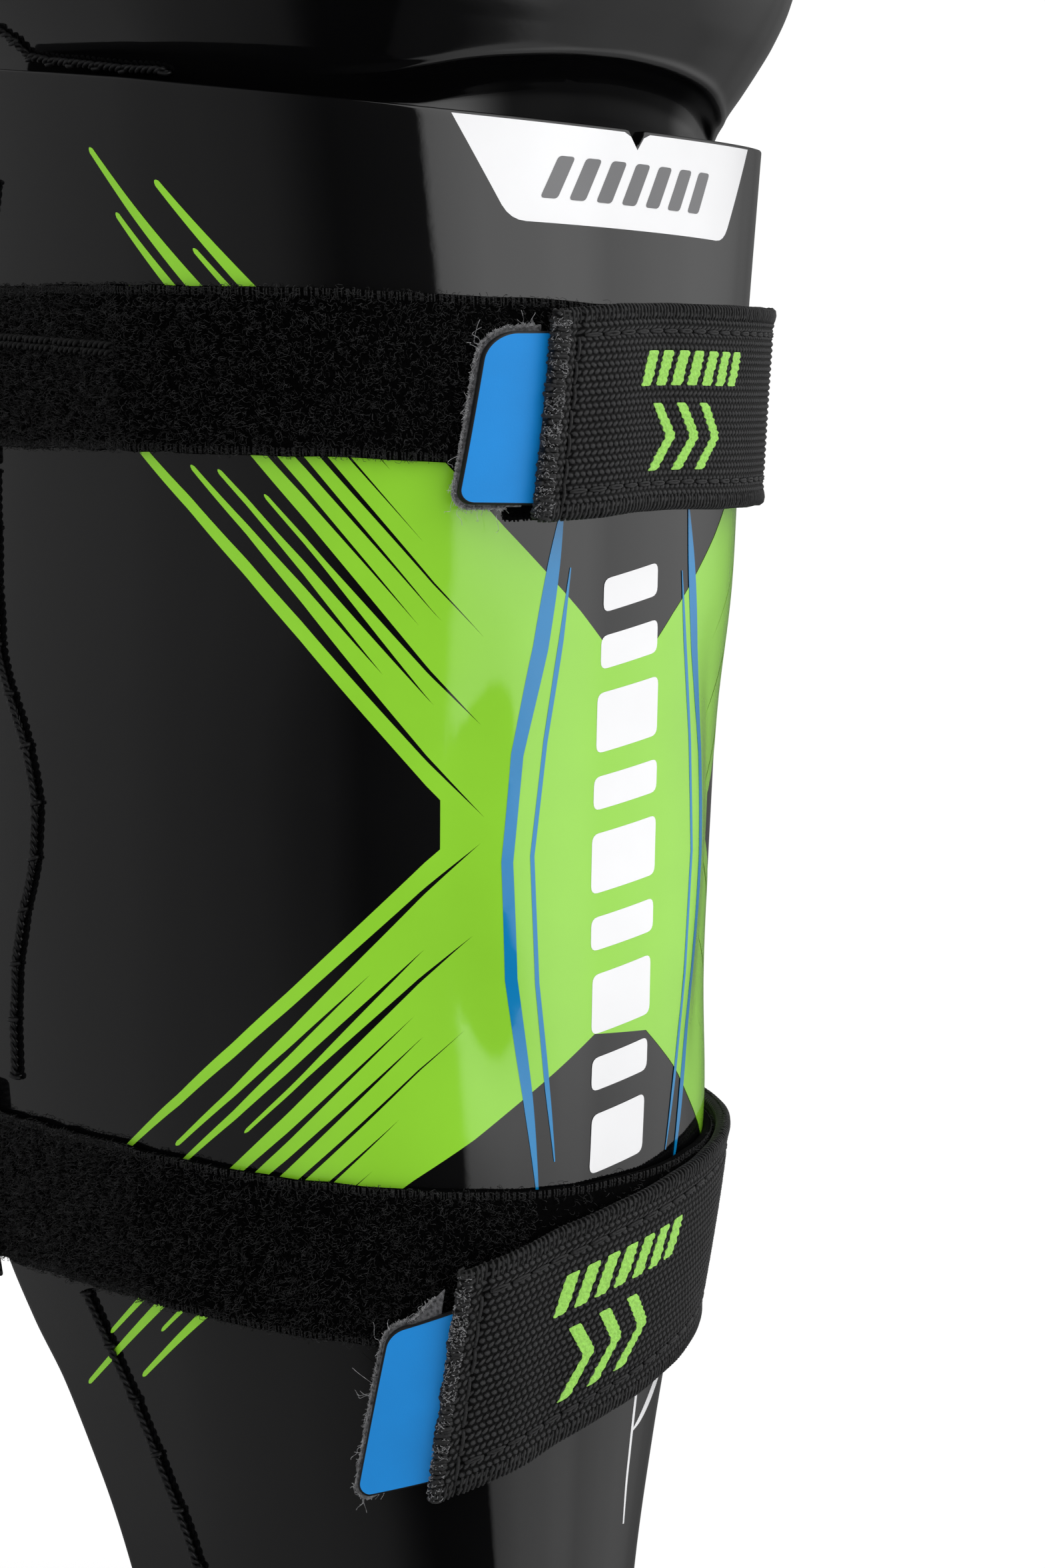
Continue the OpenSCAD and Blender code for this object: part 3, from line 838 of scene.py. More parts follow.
# ------------------------------------------------------------------ lime bands
# Each band starts at its root and fans out to -X in streaks. streaks: near side, far side and
# tip reach of each; valleys: reach of the gap between one streak and the next
UPPER_FAN = dict(
    root=(-34.7, 153.8), out=(-0.722, 0.692), over=(0.692, 0.722),
    streaks=[
        (0, 1.3, 80), (4.4, 5.5, 57), (7.3, 8.3, 53), (10.2, 11.1, 45), (13.4, 14.6, 84),
        (16.6, 17.7, 86), (19.6, 20.7, 80), (22.5, 23.8, 95.3), (25.3, 26.7, 106.4),
        (29.4, 30.5, 80.4), (31.5, 33.0, 92.4), (34.4, 35.6, 66)],
    valleys=[-10.5, 14.6, 6.7, -0.5, 16.5, 14.7, 8.5, 25, 35.5, 44, 46])
LOWER_FAN = dict(
    root=(-32.4, 143.0), out=(-0.747, -0.665), over=(0.665, -0.747),
    streaks=[
        (0, 1.3, 71), (5.0, 6.1, 60), (7.7, 8.8, 63), (10.9, 11.8, 48), (14.2, 15.4, 80),
        (17.4, 18.5, 76), (20.9, 22.1, 95), (24.0, 25.3, 106), (27.6, 28.6, 84),
        (30.6, 31.9, 93), (33.0, 34.0, 60)],
    valleys=[-6.2, 18.3, 10.3, 3.5, 17.8, 18.7, 13.3, 29.2, 37, 44])
# the far side of each band runs back to a blunt gap over the spine
UPPER_BACK = [(-33.6, 201.6), (-23.4, 191.6), (-10.1, 179.5), (-5.2, 174.6)]
LOWER_BACK = [(-37.5, 92.0), (-25.3, 100.6), (-14.0, 109.6), (-5.6, 116.0)]
STREAK_TAPER = 13
# rounded streak tip: distance short of the tip, share of the streak's width
STREAK_TIP = [(0.7, 0.18), (0.2, 0.32), (0, 0.5), (0.2, 0.68), (0.7, 0.82)]
# how far the streaks bow away from the middle height, against arc length
BOW_ARC = [34, 45, 53.5, 62.5, 72.5, 84.5, 92]
BOW_RISE = [0, 1.3, 2.3, 2.8, 2.45, 0.8, 0]
BOW_LOW, BOW_MIDDLE, BOW_HIGH = 83, 147, 214


def fan(root, out, over, streaks, valleys):
    points = []

    def add(reach, across):
        x, z = np.array(root) + np.array(out) * reach + np.array(over) * across
        points.append((float(x), float(z)))

    for i, (near, far, tip) in enumerate(streaks):
        if i:
            add(valleys[i - 1], (streaks[i - 1][1] + near) / 2)
        add(tip - STREAK_TAPER, near)
        for short, share in STREAK_TIP:
            add(tip - short, near + share * (far - near))
        add(tip - STREAK_TAPER, far)
    return points


def bowed(outline):
    path = np.array(outline, float)
    travel = run(path)
    fine = np.union1d(travel, np.arange(0, travel[-1], 1.5))
    points = []
    for arc, z in zip(np.interp(fine, travel, path[:, 0]), np.interp(fine, travel, path[:, 1])):
        if abs(arc) > BOW_ARC[0]:
            bow = np.interp(abs(arc), BOW_ARC, BOW_RISE)
            bow *= np.clip((z - BOW_LOW) / 10, 0, 1) * np.clip((BOW_HIGH - z) / 10, 0, 1)
            z += math.copysign(bow, z - BOW_MIDDLE)
        if not points or math.hypot(points[-1][0] - arc, points[-1][1] - z) > 1e-6:
            points.append((float(arc), float(z)))
    return points


def build_lime_bands():
    upper = bowed([(-31.8, 151.0)] + fan(**UPPER_FAN) + UPPER_BACK)
    lower = bowed([(-31.65, 143.7)] + fan(**LOWER_FAN) + LOWER_BACK)[::-1]
    film("Film_lime_bands", [upper + mirror(upper) + mirror(lower) + lower], LIME,
         "graphic_green", lift=FILM_LIFT, step=1.2)


build_lime_bands()


# ------------------------------------------------------------------ blue lines and white films
def build_blue_lines():
    thick = ribbon([(-13.6, 196.5), (-15.2, 186), (-17.0, 174), (-20.4, 158), (-21.6, 142),
                    (-20.4, 124.5), (-17.2, 107), (-14.6, 91)],
                   [0.25, 2.1, 2.5, 1.9, 1.8, 1.9, 1.6, 0.3], straight=True)
    thin = ribbon([(-12.2, 186), (-13.6, 175), (-15.9, 160), (-17.6, 143), (-16.3, 124),
                   (-14.0, 108), (-12.2, 97)],
                  [0.2, 0.8, 0.7, 0.7, 0.7, 0.8, 0.2], straight=True)
    film("Film_blue_lines", [thick, thin, mirror(thick), mirror(thin)], BLUE, "graphic_blue",
         lift=OVER_LIFT, step=0.9)


def build_white_bars():
    """Slanted bars up the spine."""
    gap, slant = 3.6, 1.4
    z = 96.0
    bars = []
    for height in [9.0, 5.0, 9.0, 5.0, 9.0, 5.0, 9.0, 5.0, 5.0]:
        half = 5.4 + 1.5 * hump(z, RELIEF_Z, 34)
        bars.append(rounded([(-half, z - slant), (half, z + slant),
                             (half, z + height + slant), (-half, z + height - slant)], 1.3))
        z += height + gap
    film("Film_white_bars", bars, WHITE, "graphic_white", lift=OVER_LIFT, step=1.0)


def build_white_panel():
    """Panel under the top edge, following its notch, with grey slanted marks."""
    half = 33.2
    top = []
    for arc in np.linspace(half, -half, 49):
        turn = float(arc_to_turn([arc], [250.0])[0])
        top.append((float(arc), float(top_edge(turn) - notch(turn) - 0.4)))
    low = rounded([(-half, 251.0), (-23.5, 236.8), (23.5, 236.8), (half, 251.0)], 2.6)
    film("Film_white_panel", [[point for point in low if point[1] < 247.5] + top], WHITE,
         "graphic_white", lift=FILM_LIFT, step=1.0)
    marks = [rounded([(x, 240.4), (x + 3.0, 240.4), (x + 6.2, 246.8), (x + 3.2, 246.8)], 0.7)
             for x in np.arange(-18.6, 14.0, 5.1)]
    film("Film_panel_marks", marks, GREY, "graphic_white", lift=OVER_LIFT, step=0.9)


def build_hem_line():
    """Thin line with a side branch, low on the medial half."""
    line = ribbon([(9.9, 60.0), (9.7, 55), (9.5, 50), (9.3, 45), (9.4, 38.5)],
                  [0.7, 0.7, 0.65, 0.6, 0.4])
    branch = ribbon([(9.8, 53.2), (12.0, 54.6), (15.5, 57.6), (21.0, 63.0)], [0.3, 1.0, 1.7, 2.2])
    film("Film_white_hem_line", [line, branch], WHITE, "graphic_white", lift=FILM_LIFT, step=0.9)


build_blue_lines()
build_white_bars()
build_white_panel()
build_hem_line()


# ------------------------------------------------------------------ loop tapes
# turn, z of each tape's centre line
UPPER_TAPE = np.array([[-1.85, 213.8], [-1, 213.4], [0, 213.2], [0.3, 213.6], [1, 213.6],
                       [1.85, 213.8]])
LOWER_TAPE = np.array([[-1.85, 84.4], [-1.4, 83.7], [-1, 83], [-0.7, 81.6], [-0.45, 81],
                       [-0.2, 80.6], [0, 81.8], [0.26, 84.4], [0.6, 87], [1, 88.4],
                       [1.85, 89.4]])
FIBRE_ROOT = TAPE_TOP - 0.22
PILE_AREA = 24 * 118    # square millimetres that the pile densities count for


class LoopTape:
    """Lumpy strip of loop pile between two woven edges. It ends at -reach and reach in turn."""

    def __init__(self, name, centre, reach, frame_piece, seed, covered_from):
        self.name, self.centre, self.reach = name, centre, reach
        self.covered_from = covered_from
        self.random = np.random.RandomState(seed)
        self.columns, self.rows = detail((220, 30), (420, 56))
        even = np.linspace(0, 1, self.columns)
        self.wobble = np.interp(even, np.linspace(0, 1, 60), self.random.uniform(-0.18, 0.18, 60))
        self.lumps = self.random.uniform(-0.12, 0.16, (self.rows, self.columns))
        ob = make(name, slab(self.grid, TAPE_T, edge=0.45, steps=2, top=TAPE_TOP), TAPE_BASE)
        attach(ob, "root", "loop_pile", frame_piece)
        attach(make(name + "_edges", self.woven_edges(), TAPE_EDGE), "root", "loop_pile")
        attach(make(name + "_pile", self.pile(), TAPE_PILE), "root", "loop_pile")

    def wobble_at(self, turn):
        share = (turn + self.reach) / (2 * self.reach)
        return np.interp(share, np.linspace(0, 1, self.columns), self.wobble)

    def grid(self, inset, lift):
        end = self.reach - inset / SIDE_K
        turn, side = np.meshgrid(np.linspace(-end, end, self.columns),
                                 np.linspace(-1, 1, self.rows))
        z = look_up(self.centre, turn) + side * (TAPE_W / 2 - inset) + self.wobble[None, :]
        points = shin(turn, z, lift)
        if lift > 0.8:
            edge = np.clip((1 - np.abs(side)) * TAPE_W / 2 / 1.6, 0, 1)
            swell = self.lumps * edge + edge * 0.15 - 0.25
            points = points + normal(shin, turn, z) * swell[..., None]
        return points

    def woven_edges(self):
        """A row of fine bars over each border."""
        turns = np.arange(-self.reach + 0.012, self.reach - 0.012, 0.42 / 86.0)
        turn = turns[:, None] + 0.003 * np.sin(np.arange(len(turns)) * 1.7)[:, None] * np.ones(5)
        inwards = 0.12 + np.linspace(0, 1, 5)[None, :] * 1.15
        lift = FIBRE_ROOT + 0.12 * half_wave(5)[None, :]
        parts = []
        for side in (-1, 1):
            z = (look_up(self.centre, turn) + side * (TAPE_W / 2 - inwards)
                 + self.wobble_at(turn))
            parts.append(tubes(shin(turn, z, lift), 0.13, 5, ref=normal(shin, turn, z)))
        return join(parts)

    def pile(self):
        """Small arched loops of fibre, denser up to covered_from."""
        uniform, end = self.random.uniform, self.reach - 0.01
        open_density, covered_density = detail((0.7, 0.25), (4.6, 1.0))
        density = open_density + covered_density
        count = int(density * PILE_AREA)
        in_open = uniform(0, 1, count) < open_density / density
        turn = np.where(in_open, uniform(-end, self.covered_from, count),
                        uniform(self.covered_from, end, count))
        across = uniform(-1, 1, count) * (TAPE_W / 2 - 0.9)
        at_edge = uniform(0, 1, count) < 0.06
        across = np.where(at_edge, np.sign(across) * (TAPE_W / 2 - uniform(-0.1, 0.8, count)),
                          across)
        heading = uniform(0, 2 * math.pi, count)[:, None]
        width = uniform(0.35, 1.2, count)
        height = uniform(0.25, 0.95, count) * np.where(uniform(0, 1, count) < 0.1, 1.5, 1.0)
        tilt = uniform(-0.7, 0.7, count)
        angle = np.linspace(0, math.pi, 5)[None, :]
        along = np.cos(angle) * width[:, None] / 2
        rise = np.sin(angle) * height[:, None]
        side = (np.sin(angle) ** 2 * (tilt * height)[:, None]
                + np.sin(2 * angle) * uniform(-0.2, 0.2, count)[:, None])
        step_x = along * np.cos(heading) - side * np.sin(heading)
        step_z = along * np.sin(heading) + side * np.cos(heading)
        z = look_up(self.centre, turn) + across + self.wobble_at(turn)
        roots = shin(turn, z, FIBRE_ROOT)
        out = normal(shin, turn, z)
        up = unit(np.array([0, 0, 1.0]) - out * out[:, 2:3])
        right = np.cross(out, up)
        paths = (roots[:, None, :] + step_x[..., None] * right[:, None, :]
                 + step_z[..., None] * up[:, None, :] + rise[..., None] * out[:, None, :])
        return tubes(paths, uniform(0.028, 0.05, count)[:, None], 3, caps=False)


LoopTape("Upper_loop_tape", UPPER_TAPE, reach=1.86, frame_piece="upper_loop_tape", seed=11,
         covered_from=-0.12)
LoopTape("Lower_loop_tape", LOWER_TAPE, reach=1.85, frame_piece="lower_loop_tape", seed=12,
         covered_from=-0.2)

# ------------------------------------------------------------------ elastic straps
# turn, z of each elastic's centre line over the shell
UPPER_ELASTIC = np.array([[-0.22, 208.1], [0, 210.4], [0.2, 211.2], [0.6, 212.6], [1, 213.4],
                          [1.85, 213.8]])
LOWER_ELASTIC = np.array([[-0.42, 63], [-0.23, 68.6], [0, 75], [0.2, 79.6], [0.5, 84.4],
                          [1, 88], [1.85, 89.4]])
CALF_Y, CALF_BOW = 43, 17.0     # where the elastic leaves the shell, how far it bows back
SIDE_TURN = 1.82                # turn where the elastic meets the shell, on both sides
LATERAL_TAIL = 0.02             # turn from there to the lateral end
LAP = 7.0                       # half the overlap of the two pieces behind the calf
KNOTTED = 80.0                  # length from the fold with modelled knots


class Elastic:
    """Path of one elastic: from its fold on the front, round the medial side and the calf, to
    its end on the lateral side. Places are (along from the fold, across, lift)."""

    def __init__(self, centre, fold_turn, fold_skew, slant, medial_z, lateral_z):
        self.centre, self.fold_turn = centre, fold_turn
        self.fold_skew, self.slant = fold_skew, slant
        self.medial_z, self.lateral_z = medial_z, lateral_z
        self.turns = np.linspace(fold_turn, SIDE_TURN, 600)
        self.turns_along = run(shin(self.turns, look_up(centre, self.turns),
                                    self.base(self.turns)))
        self.front_end = self.turns_along[-1]
        self.angles = np.radians(np.linspace(178.5, 1.5, 2401))
        calf = self.calf(self.angles, np.zeros(2401), 1.0)
        front_last = self.front(self.front_end, 0.0, 1.0)
        calf_start = self.front_end + np.linalg.norm(calf[0] - front_last)
        self.angles_along = calf_start + run(calf)
        self.calf_start, self.calf_end = calf_start, self.angles_along[-1]
        side_first = shin(-SIDE_TURN, lateral_z, STRAP_BASE + 1.0)
        self.side_start = self.calf_end + np.linalg.norm(side_first - calf[-1])
        self.end = self.side_start + LATERAL_TAIL * SIDE_K
        self.middle = float(np.interp(math.pi / 2, self.angles[::-1], self.angles_along[::-1]))

    def base(self, turn):
        """Lift of the inner face, higher where the tab lies under the fold."""
        return FOLD_BASE + (STRAP_BASE - FOLD_BASE) * smooth((turn - self.fold_turn - 0.1) / 0.16)

    def front(self, along, across, lift):
        turn = (np.interp(along, self.turns_along, self.turns)
                + self.fold_skew * across / STRAP_W * (1 - along / self.front_end))
        slant = self.slant + (1 - self.slant) * smooth(turn - self.fold_turn)
        z = look_up(self.centre, turn) + across * slant
        return shin(turn, z, self.base(turn) + lift)

    def calf(self, angle, across, lift):
        """Free part behind the shell, from 180 degrees at +X to 0 at -X."""
        cosine, sine = np.cos(angle), np.sin(angle)
        z = self.lateral_z + (self.medial_z - self.lateral_z) * (1 - cosine) / 2 + across
        half = np.abs(shin(1.84, np.clip(z, 0, 275), STRAP_BASE)[..., 0])
        return np.stack([-(half + lift) * np.sign(cosine) * np.abs(cosine) ** 0.5,
                         CALF_Y + (CALF_BOW + lift) * sine ** 0.8, z], -1)

    def at(self, along, across, lift):
        along, across, lift = np.broadcast_arrays(
            np.asarray(along, float), np.asarray(across, float), np.asarray(lift, float))
        front = self.front(np.clip(along, 0, self.front_end), across, lift)
        calf = self.calf(np.interp(along, self.angles_along, self.angles), across, lift)
        turn = -SIDE_TURN + np.clip(along - self.side_start, 0, None) / SIDE_K
        side = shin(turn, self.lateral_z + across, STRAP_BASE + lift)

        def blend(start, end):
            return np.clip((along - start) / (end - start), 0, 1)[..., None]

        to_calf = blend(self.front_end, self.calf_start)
        to_side = blend(self.calf_end, self.side_start)
        return (front * (1 - to_calf) + calf * to_calf) * (1 - to_side) + side * to_side

    def normal(self, along, across):
        return normal(self.at, along, across, 1.0, steps=(0.25, 0.25))

    def fold_axes(self, across):
        """Centre of the folded end, its outward axis and its axis away from the strap."""
        centre = self.at(1.35, across, STRAP_T / 2 + 0.30)
        away = unit(self.at(0.9, across, 1.0) - self.at(1.8, across, 1.0))
        return centre, self.normal(1.35, across), away


# yarn over each strap edge: distance in from the edge, lift off the face, lean along
EDGE_YARN = np.array([[2.1, -0.12, 0.27], [1.6, 0.06, 0.18], [0.9, 0.18, 0.09],
                      [0.25, 0.08, 0.0], [-0.10, -0.35, -0.06], [-0.12, -0.9, -0.12]])
YARN_PITCH = 0.8
CHAIN_PITCH = 3.5
CHAIN_IN = 4.0          # chain stitches, in from the strap's edge
FOLD_SEAM = 4.1         # seam that closes the fold, along from it


class StrapPiece:
    """The wrap (from the fold to behind the calf) or the back piece (from there to the end)."""

    def __init__(self, strap, is_wrap, random):
        self.strap, self.is_wrap, self.random = strap, is_wrap, random
        fine = detail(0.5, 0.215)
        rows = int(STRAP_W / fine)
        if is_wrap:
            start, end = 0.0, strap.middle + LAP
            rest = int((end - KNOTTED) / detail(3.0, 1.1))
            self.stations = np.concatenate([np.arange(0, KNOTTED, fine),
                                            np.linspace(KNOTTED, end, rest)])
        else:
            start, end = strap.middle - LAP, strap.end
            self.stations = np.linspace(start, end, int((end - start) / detail(2.5, 0.9)))
            rows = rows // 2
        self.start, self.end, self.rows = start, end, rows
        self.wobble = np.interp(self.stations, np.linspace(start, end, 40),
                                random.uniform(-0.14, 0.14, 40))

    def lap_rise(self, along):
        """The wrap lies over the back piece behind the calf."""
        if not self.is_wrap:
            return 0.0 * along
        return 2.15 * smooth((along - (self.strap.middle - LAP - 6)) / 6)

    def rise(self, along):
        """Rise of the outer face: the lap, the swollen fold and the groove of its seam."""
        if not self.is_wrap:
            return 0.0 * along
        return self.lap_rise(along) + 0.75 * hump(along, 0, 4.6) - 0.72 * hump(along, FOLD_SEAM,
                                                                                0.65)

    def flat_grid(self, inset):
        length = self.end - self.start
        along = self.start + inset + (self.stations - self.start) * (1 - 2 * inset / length)
        across = np.linspace(-1, 1, self.rows) * (STRAP_W / 2 - inset)
        along, across = np.meshgrid(along, across)
        return along, across + self.wobble[None, :] * np.clip(across / 10, -1, 1)

    def grid(self, inset, lift):
        along, across = self.flat_grid(inset)
        rise = self.rise(along) if lift > 1.0 else self.lap_rise(along)
        points = self.strap.at(along, across, lift + rise)
        if self.is_wrap and lift > STRAP_T - 1e-9:
            from_edge = STRAP_W / 2 - np.abs(across)
            rib = 0.10 * hump(from_edge, 0.9, 0.6) - 0.42 * hump(from_edge, CHAIN_IN, 0.55)
            knots = (np.where(along < KNOTTED, 0.32, 0.0)
                     * np.clip((from_edge - 1.2) / 0.8, 0.15, 1))
            swell = rib + knots * (knit(along, across) - 0.55)
            points = points + self.strap.normal(along, across) * swell[..., None]
        return points

    def uv_grid(self, inset, lift):
        along, across = self.flat_grid(inset)
        return np.stack([along, across, 0 * along], -1)

    def yarn(self, along, across, lift, radius, sides=5):
        """Yarn at a lift above the outer face."""
        points = self.strap.at(along, across, STRAP_T + lift + self.rise(along))
        return tubes(points, radius, sides, ref=self.strap.normal(along, across))

    def edge_yarn(self):
        """Overlocked yarn round both edges, and a row of chain stitches inside each."""
        uniform, half = self.random.uniform, STRAP_W / 2
        parts = []
        length = self.end - self.start - 2 * YARN_PITCH
        count = int(length / YARN_PITCH)
        turns = (self.start + YARN_PITCH
                 + (np.arange(count) + uniform(-0.12, 0.12, count)) * length / count)
        inwards, lift, lean = EDGE_YARN.T
        chains = int((self.end - self.start - 7.5) / CHAIN_PITCH)
        chain_starts = self.start + 5.2 + np.arange(chains) * CHAIN_PITCH
        arch = half_wave(7)[None, :]
        for side in (-1, 1):
            along = turns[:, None] + lean[None, :] + uniform(-0.06, 0.06, (count, 6))
            across = side * (half - inwards + np.interp(along, self.stations, self.wobble))
            parts.append(self.yarn(along, across, lift[None, :], 0.18))
            for bow in (-0.20, 0.20):
                along = spans(chain_starts, CHAIN_PITCH * 0.84, 7)
                across = side * (half - CHAIN_IN) + bow * arch + uniform(-0.05, 0.05, (chains, 1))
                parts.append(self.yarn(along, across, -0.34 + 0.30 * arch ** 0.5, 0.19))
        return parts

    def fold_yarn(self):
        """Long stitches sunk in the fold's groove, and yarn whipped round its end."""
        uniform = self.random.uniform
        count = int((STRAP_W - 4.2) / CHAIN_PITCH)
        starts = -STRAP_W / 2 + 2.1 + np.arange(count) * CHAIN_PITCH
        arch = half_wave(9)[None, :]
        along = FOLD_SEAM + 0.12 * arch + uniform(-0.15, 0.15, (count, 1))
        seam = self.yarn(along, spans(starts, CHAIN_PITCH * 0.88, 9),
                         -0.02 + 0.34 * arch ** 0.5, 0.27, 6)
        count = 56
        half = STRAP_W / 2 - 0.35
        across = np.linspace(-half, half, count) + uniform(-0.12, 0.12, count)
        angle = np.linspace(-0.55, math.pi * 0.9, 11)[None, :]
        centre, out, away = (axis[:, None, :] for axis in self.strap.fold_axes(across))
        high = (STRAP_T / 2 + 0.50 + uniform(-0.14, 0.18, count))[:, None] * np.cos(angle)
        wide = (1.30 + uniform(-0.25, 0.35, count))[:, None] * np.sin(angle)
        paths = centre + out * high[..., None] + away * wide[..., None]
        paths[..., 2] += 0.55 * (angle / math.pi) + uniform(-0.1, 0.1, (count, 11))
        return [seam, tubes(paths, uniform(0.20, 0.34, count)[:, None], 6)]

    def cross_row(self, along):
        """Row of stitches across the strap."""
        pitch = 2.6
        count = int((STRAP_W - 5) / pitch)
        across = spans(-STRAP_W / 2 + 2.6 + np.arange(count) * pitch, pitch * 0.85, 7)
        lift = 0.03 + 0.24 * half_wave(7)[None, :] ** 0.5
        return self.yarn(np.full_like(across, along), across, lift, 0.24)

    def fray(self):
        """Short rubber ends in clumps along the fold."""
        uniform, half = self.random.uniform, STRAP_W / 2
        count, clump_count = detail(90, 420), 26
        clumps = uniform(-half + 0.6, half - 0.6, clump_count)
        across = np.where(
            uniform(0, 1, count) < 0.6,
            clumps[self.random.randint(0, clump_count, count)]
            + self.random.normal(0, 0.35, count),
            uniform(-half + 0.3, half - 0.3, count))
        across = np.clip(across, -half + 0.2, half - 0.2)
        angle = uniform(-0.5, 1.35, count)
        cosine, sine = np.cos(angle)[:, None], np.sin(angle)[:, None]
        centre, out, away = self.strap.fold_axes(across)
        root = centre + out * (STRAP_T / 2 + 0.78) * cosine + away * 1.62 * sine
        heading = uniform(-1, 1, (count, 3))
        reach = uniform(0.18, 0.6, count)[:, None] * (np.linspace(0, 1, 5) - 0.5)[None, :]
        paths = (root[:, None, :] + heading[:, None, :] * reach[..., None]
                 + (out * cosine + away * sine)[:, None, :]
                 * (half_wave(5)[None, :, None] * 0.22))
        return tubes(paths, uniform(0.035, 0.075, count)[:, None], 4, caps=False)


def build_elastic(key, strap, seed):
    random = np.random.RandomState(seed)
    wrap_body, back_body = key + "_strap_wrap", key + "_strap_back"
    # blend starts and ends are in metres
    for is_wrap, suffix, bodies, start, end, frame_pieces in (
            (True, "_elastic_wrap", (back_body, wrap_body), (0.055, 0.021, 0.0),
             (0.055, 0.005, 0.0), (key + "_strap_front", key + "_strap_rear")),
            (False, "_elastic_back", ("root", back_body), (-0.05, 0.040, 0.0),
             (-0.05, 0.054, 0.0), (key + "_strap_anchor",))):
        piece = StrapPiece(strap, is_wrap, random)
        shape = slab(piece.grid, STRAP_T, edge=0.8, top=STRAP_T)
        uv = slab(piece.uv_grid, STRAP_T, edge=0.8, top=STRAP_T)[0][:, :2]
        name = key.capitalize() + suffix
        ob = make(name, shape, ELASTIC, uv=uv)
        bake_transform(ob)
        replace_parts(ob, *frame_pieces)

        parts = piece.edge_yarn()
        if is_wrap:
            parts += piece.fold_yarn()
            rows = (strap.middle - 4.5, strap.middle + 4.5)
        else:
            rows = (strap.end - 2.2,)
        parts += [piece.cross_row(along) for along in rows]
        ob = make(name + "_stitching", join(parts), ELASTIC_RIB)
        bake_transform(ob)

        if is_wrap:
            ob = make(key.capitalize() + "_elastic_fray", piece.fray(), FRAY)
            attach(ob, wrap_body, "thread")


def build_strap_print(name, strap, body):
    """Slanted bars over a row of chevrons, following the knots."""
    marks = []
    for i in range(7):
        x = 17.6 + i * 3.7
        marks.append([(x, 3.2), (x + 2.4, 3.2), (x + 3.8, 8.4), (x + 1.4, 8.4)])
    for i in range(3):
        x = 21.0 + i * 5.6
        marks.append([(x, 0.6), (x + 2.2, 0.6), (x + 6.0, -4.4), (x + 2.2, -9.4), (x, -9.4),
                      (x + 3.8, -4.4)])

    def on_strap(along, across, lift):
        points = strap.at(along, across, STRAP_T + 0.10 + lift)
        knots = 0.32 * (knit(along, across) - 0.55)
        return points + strap.normal(along, across) * knots[..., None]

    film(name, [rounded(mark, 0.35, 2) for mark in marks], STRAP_PRINT, "graphic_green",
         lift=0.0, step=0.4, grid=detail(0.9, 0.34), body=body, place=on_strap, thick=0.22)


upper_strap = Elastic(UPPER_ELASTIC, fold_turn=-0.220, fold_skew=0.04, slant=1.01,
                      medial_z=213.8, lateral_z=213.8)
lower_strap = Elastic(LOWER_ELASTIC, fold_turn=-0.4, fold_skew=0.075, slant=1.1,
                      medial_z=89.4, lateral_z=84.4)
build_elastic("upper", upper_strap, seed=21)
build_elastic("lower", lower_strap, seed=22)
build_strap_print("Upper_elastic_print", upper_strap, "upper_strap_wrap")
build_strap_print("Lower_elastic_print", lower_strap, "lower_strap_wrap")


# ------------------------------------------------------------------ pull tabs
# Corners are (turn, z); the tip points to -X and the root goes on under the fold by hidden, in
# turn. radii: top and bottom corners of the tip
TABS = {
    "upper": dict(tip_top=(-0.309, 220.4), root_top=(-0.207, 221.2), tip_low=(-0.366, 194.8),
                  root_low=(-0.245, 195.2), hidden=0.11, radii=(4.4, 2.2), seed=31),
    "lower": dict(tip_top=(-0.495, 72.8), root_top=(-0.385, 77.8), tip_low=(-0.583, 45.9),
                  root_low=(-0.445, 50.4), hidden=0.10, radii=(3.4, 2.0), seed=32),
}
TAB_ROWS, TAB_COLUMNS = detail((50, 30), (110, 60))
TAB_TURN = 78.0     # millimetres to one unit of turn at the tabs


def tab_grid(tab, grow, hidden):
    """Grid of a tab's outline grown by grow; rows run up, columns from the tip to the root."""
    tip_top, root_top, tip_low, root_low = (
        np.array(tab[key]) for key in ("tip_top", "root_top", "tip_low", "root_low"))
    top_radius, low_radius = tab["radii"]

    def grid(inset, lift):
        row = eased(TAB_ROWS)
        inwards = inset - grow
        height = tip_top[1] - tip_low[1]
        share = (inwards / height + row * (1 - 2 * inwards / height))[:, None]
        tip = tip_low + (tip_top - tip_low) * share
        root = root_low + (root_top - root_low) * share + np.array([hidden, 0.0])
        from_end = np.minimum(row, 1 - row) * (height - 2 * inwards)
        radius = np.where(row > 0.5, top_radius, low_radius) - inset * 0.6 + grow * 0.7
        fall = np.sqrt(np.maximum(radius**2 - (radius - from_end) ** 2, 0))
        tip[:, 0] += (inwards + np.where(from_end < radius, radius - fall, 0)) / TAB_TURN
        column = np.linspace(0, 1, TAB_COLUMNS)[None, :, None]
        points = tip[:, None, :] + (root - tip)[:, None, :] * column
        return shin(points[..., 0], points[..., 1], lift)

    return grid


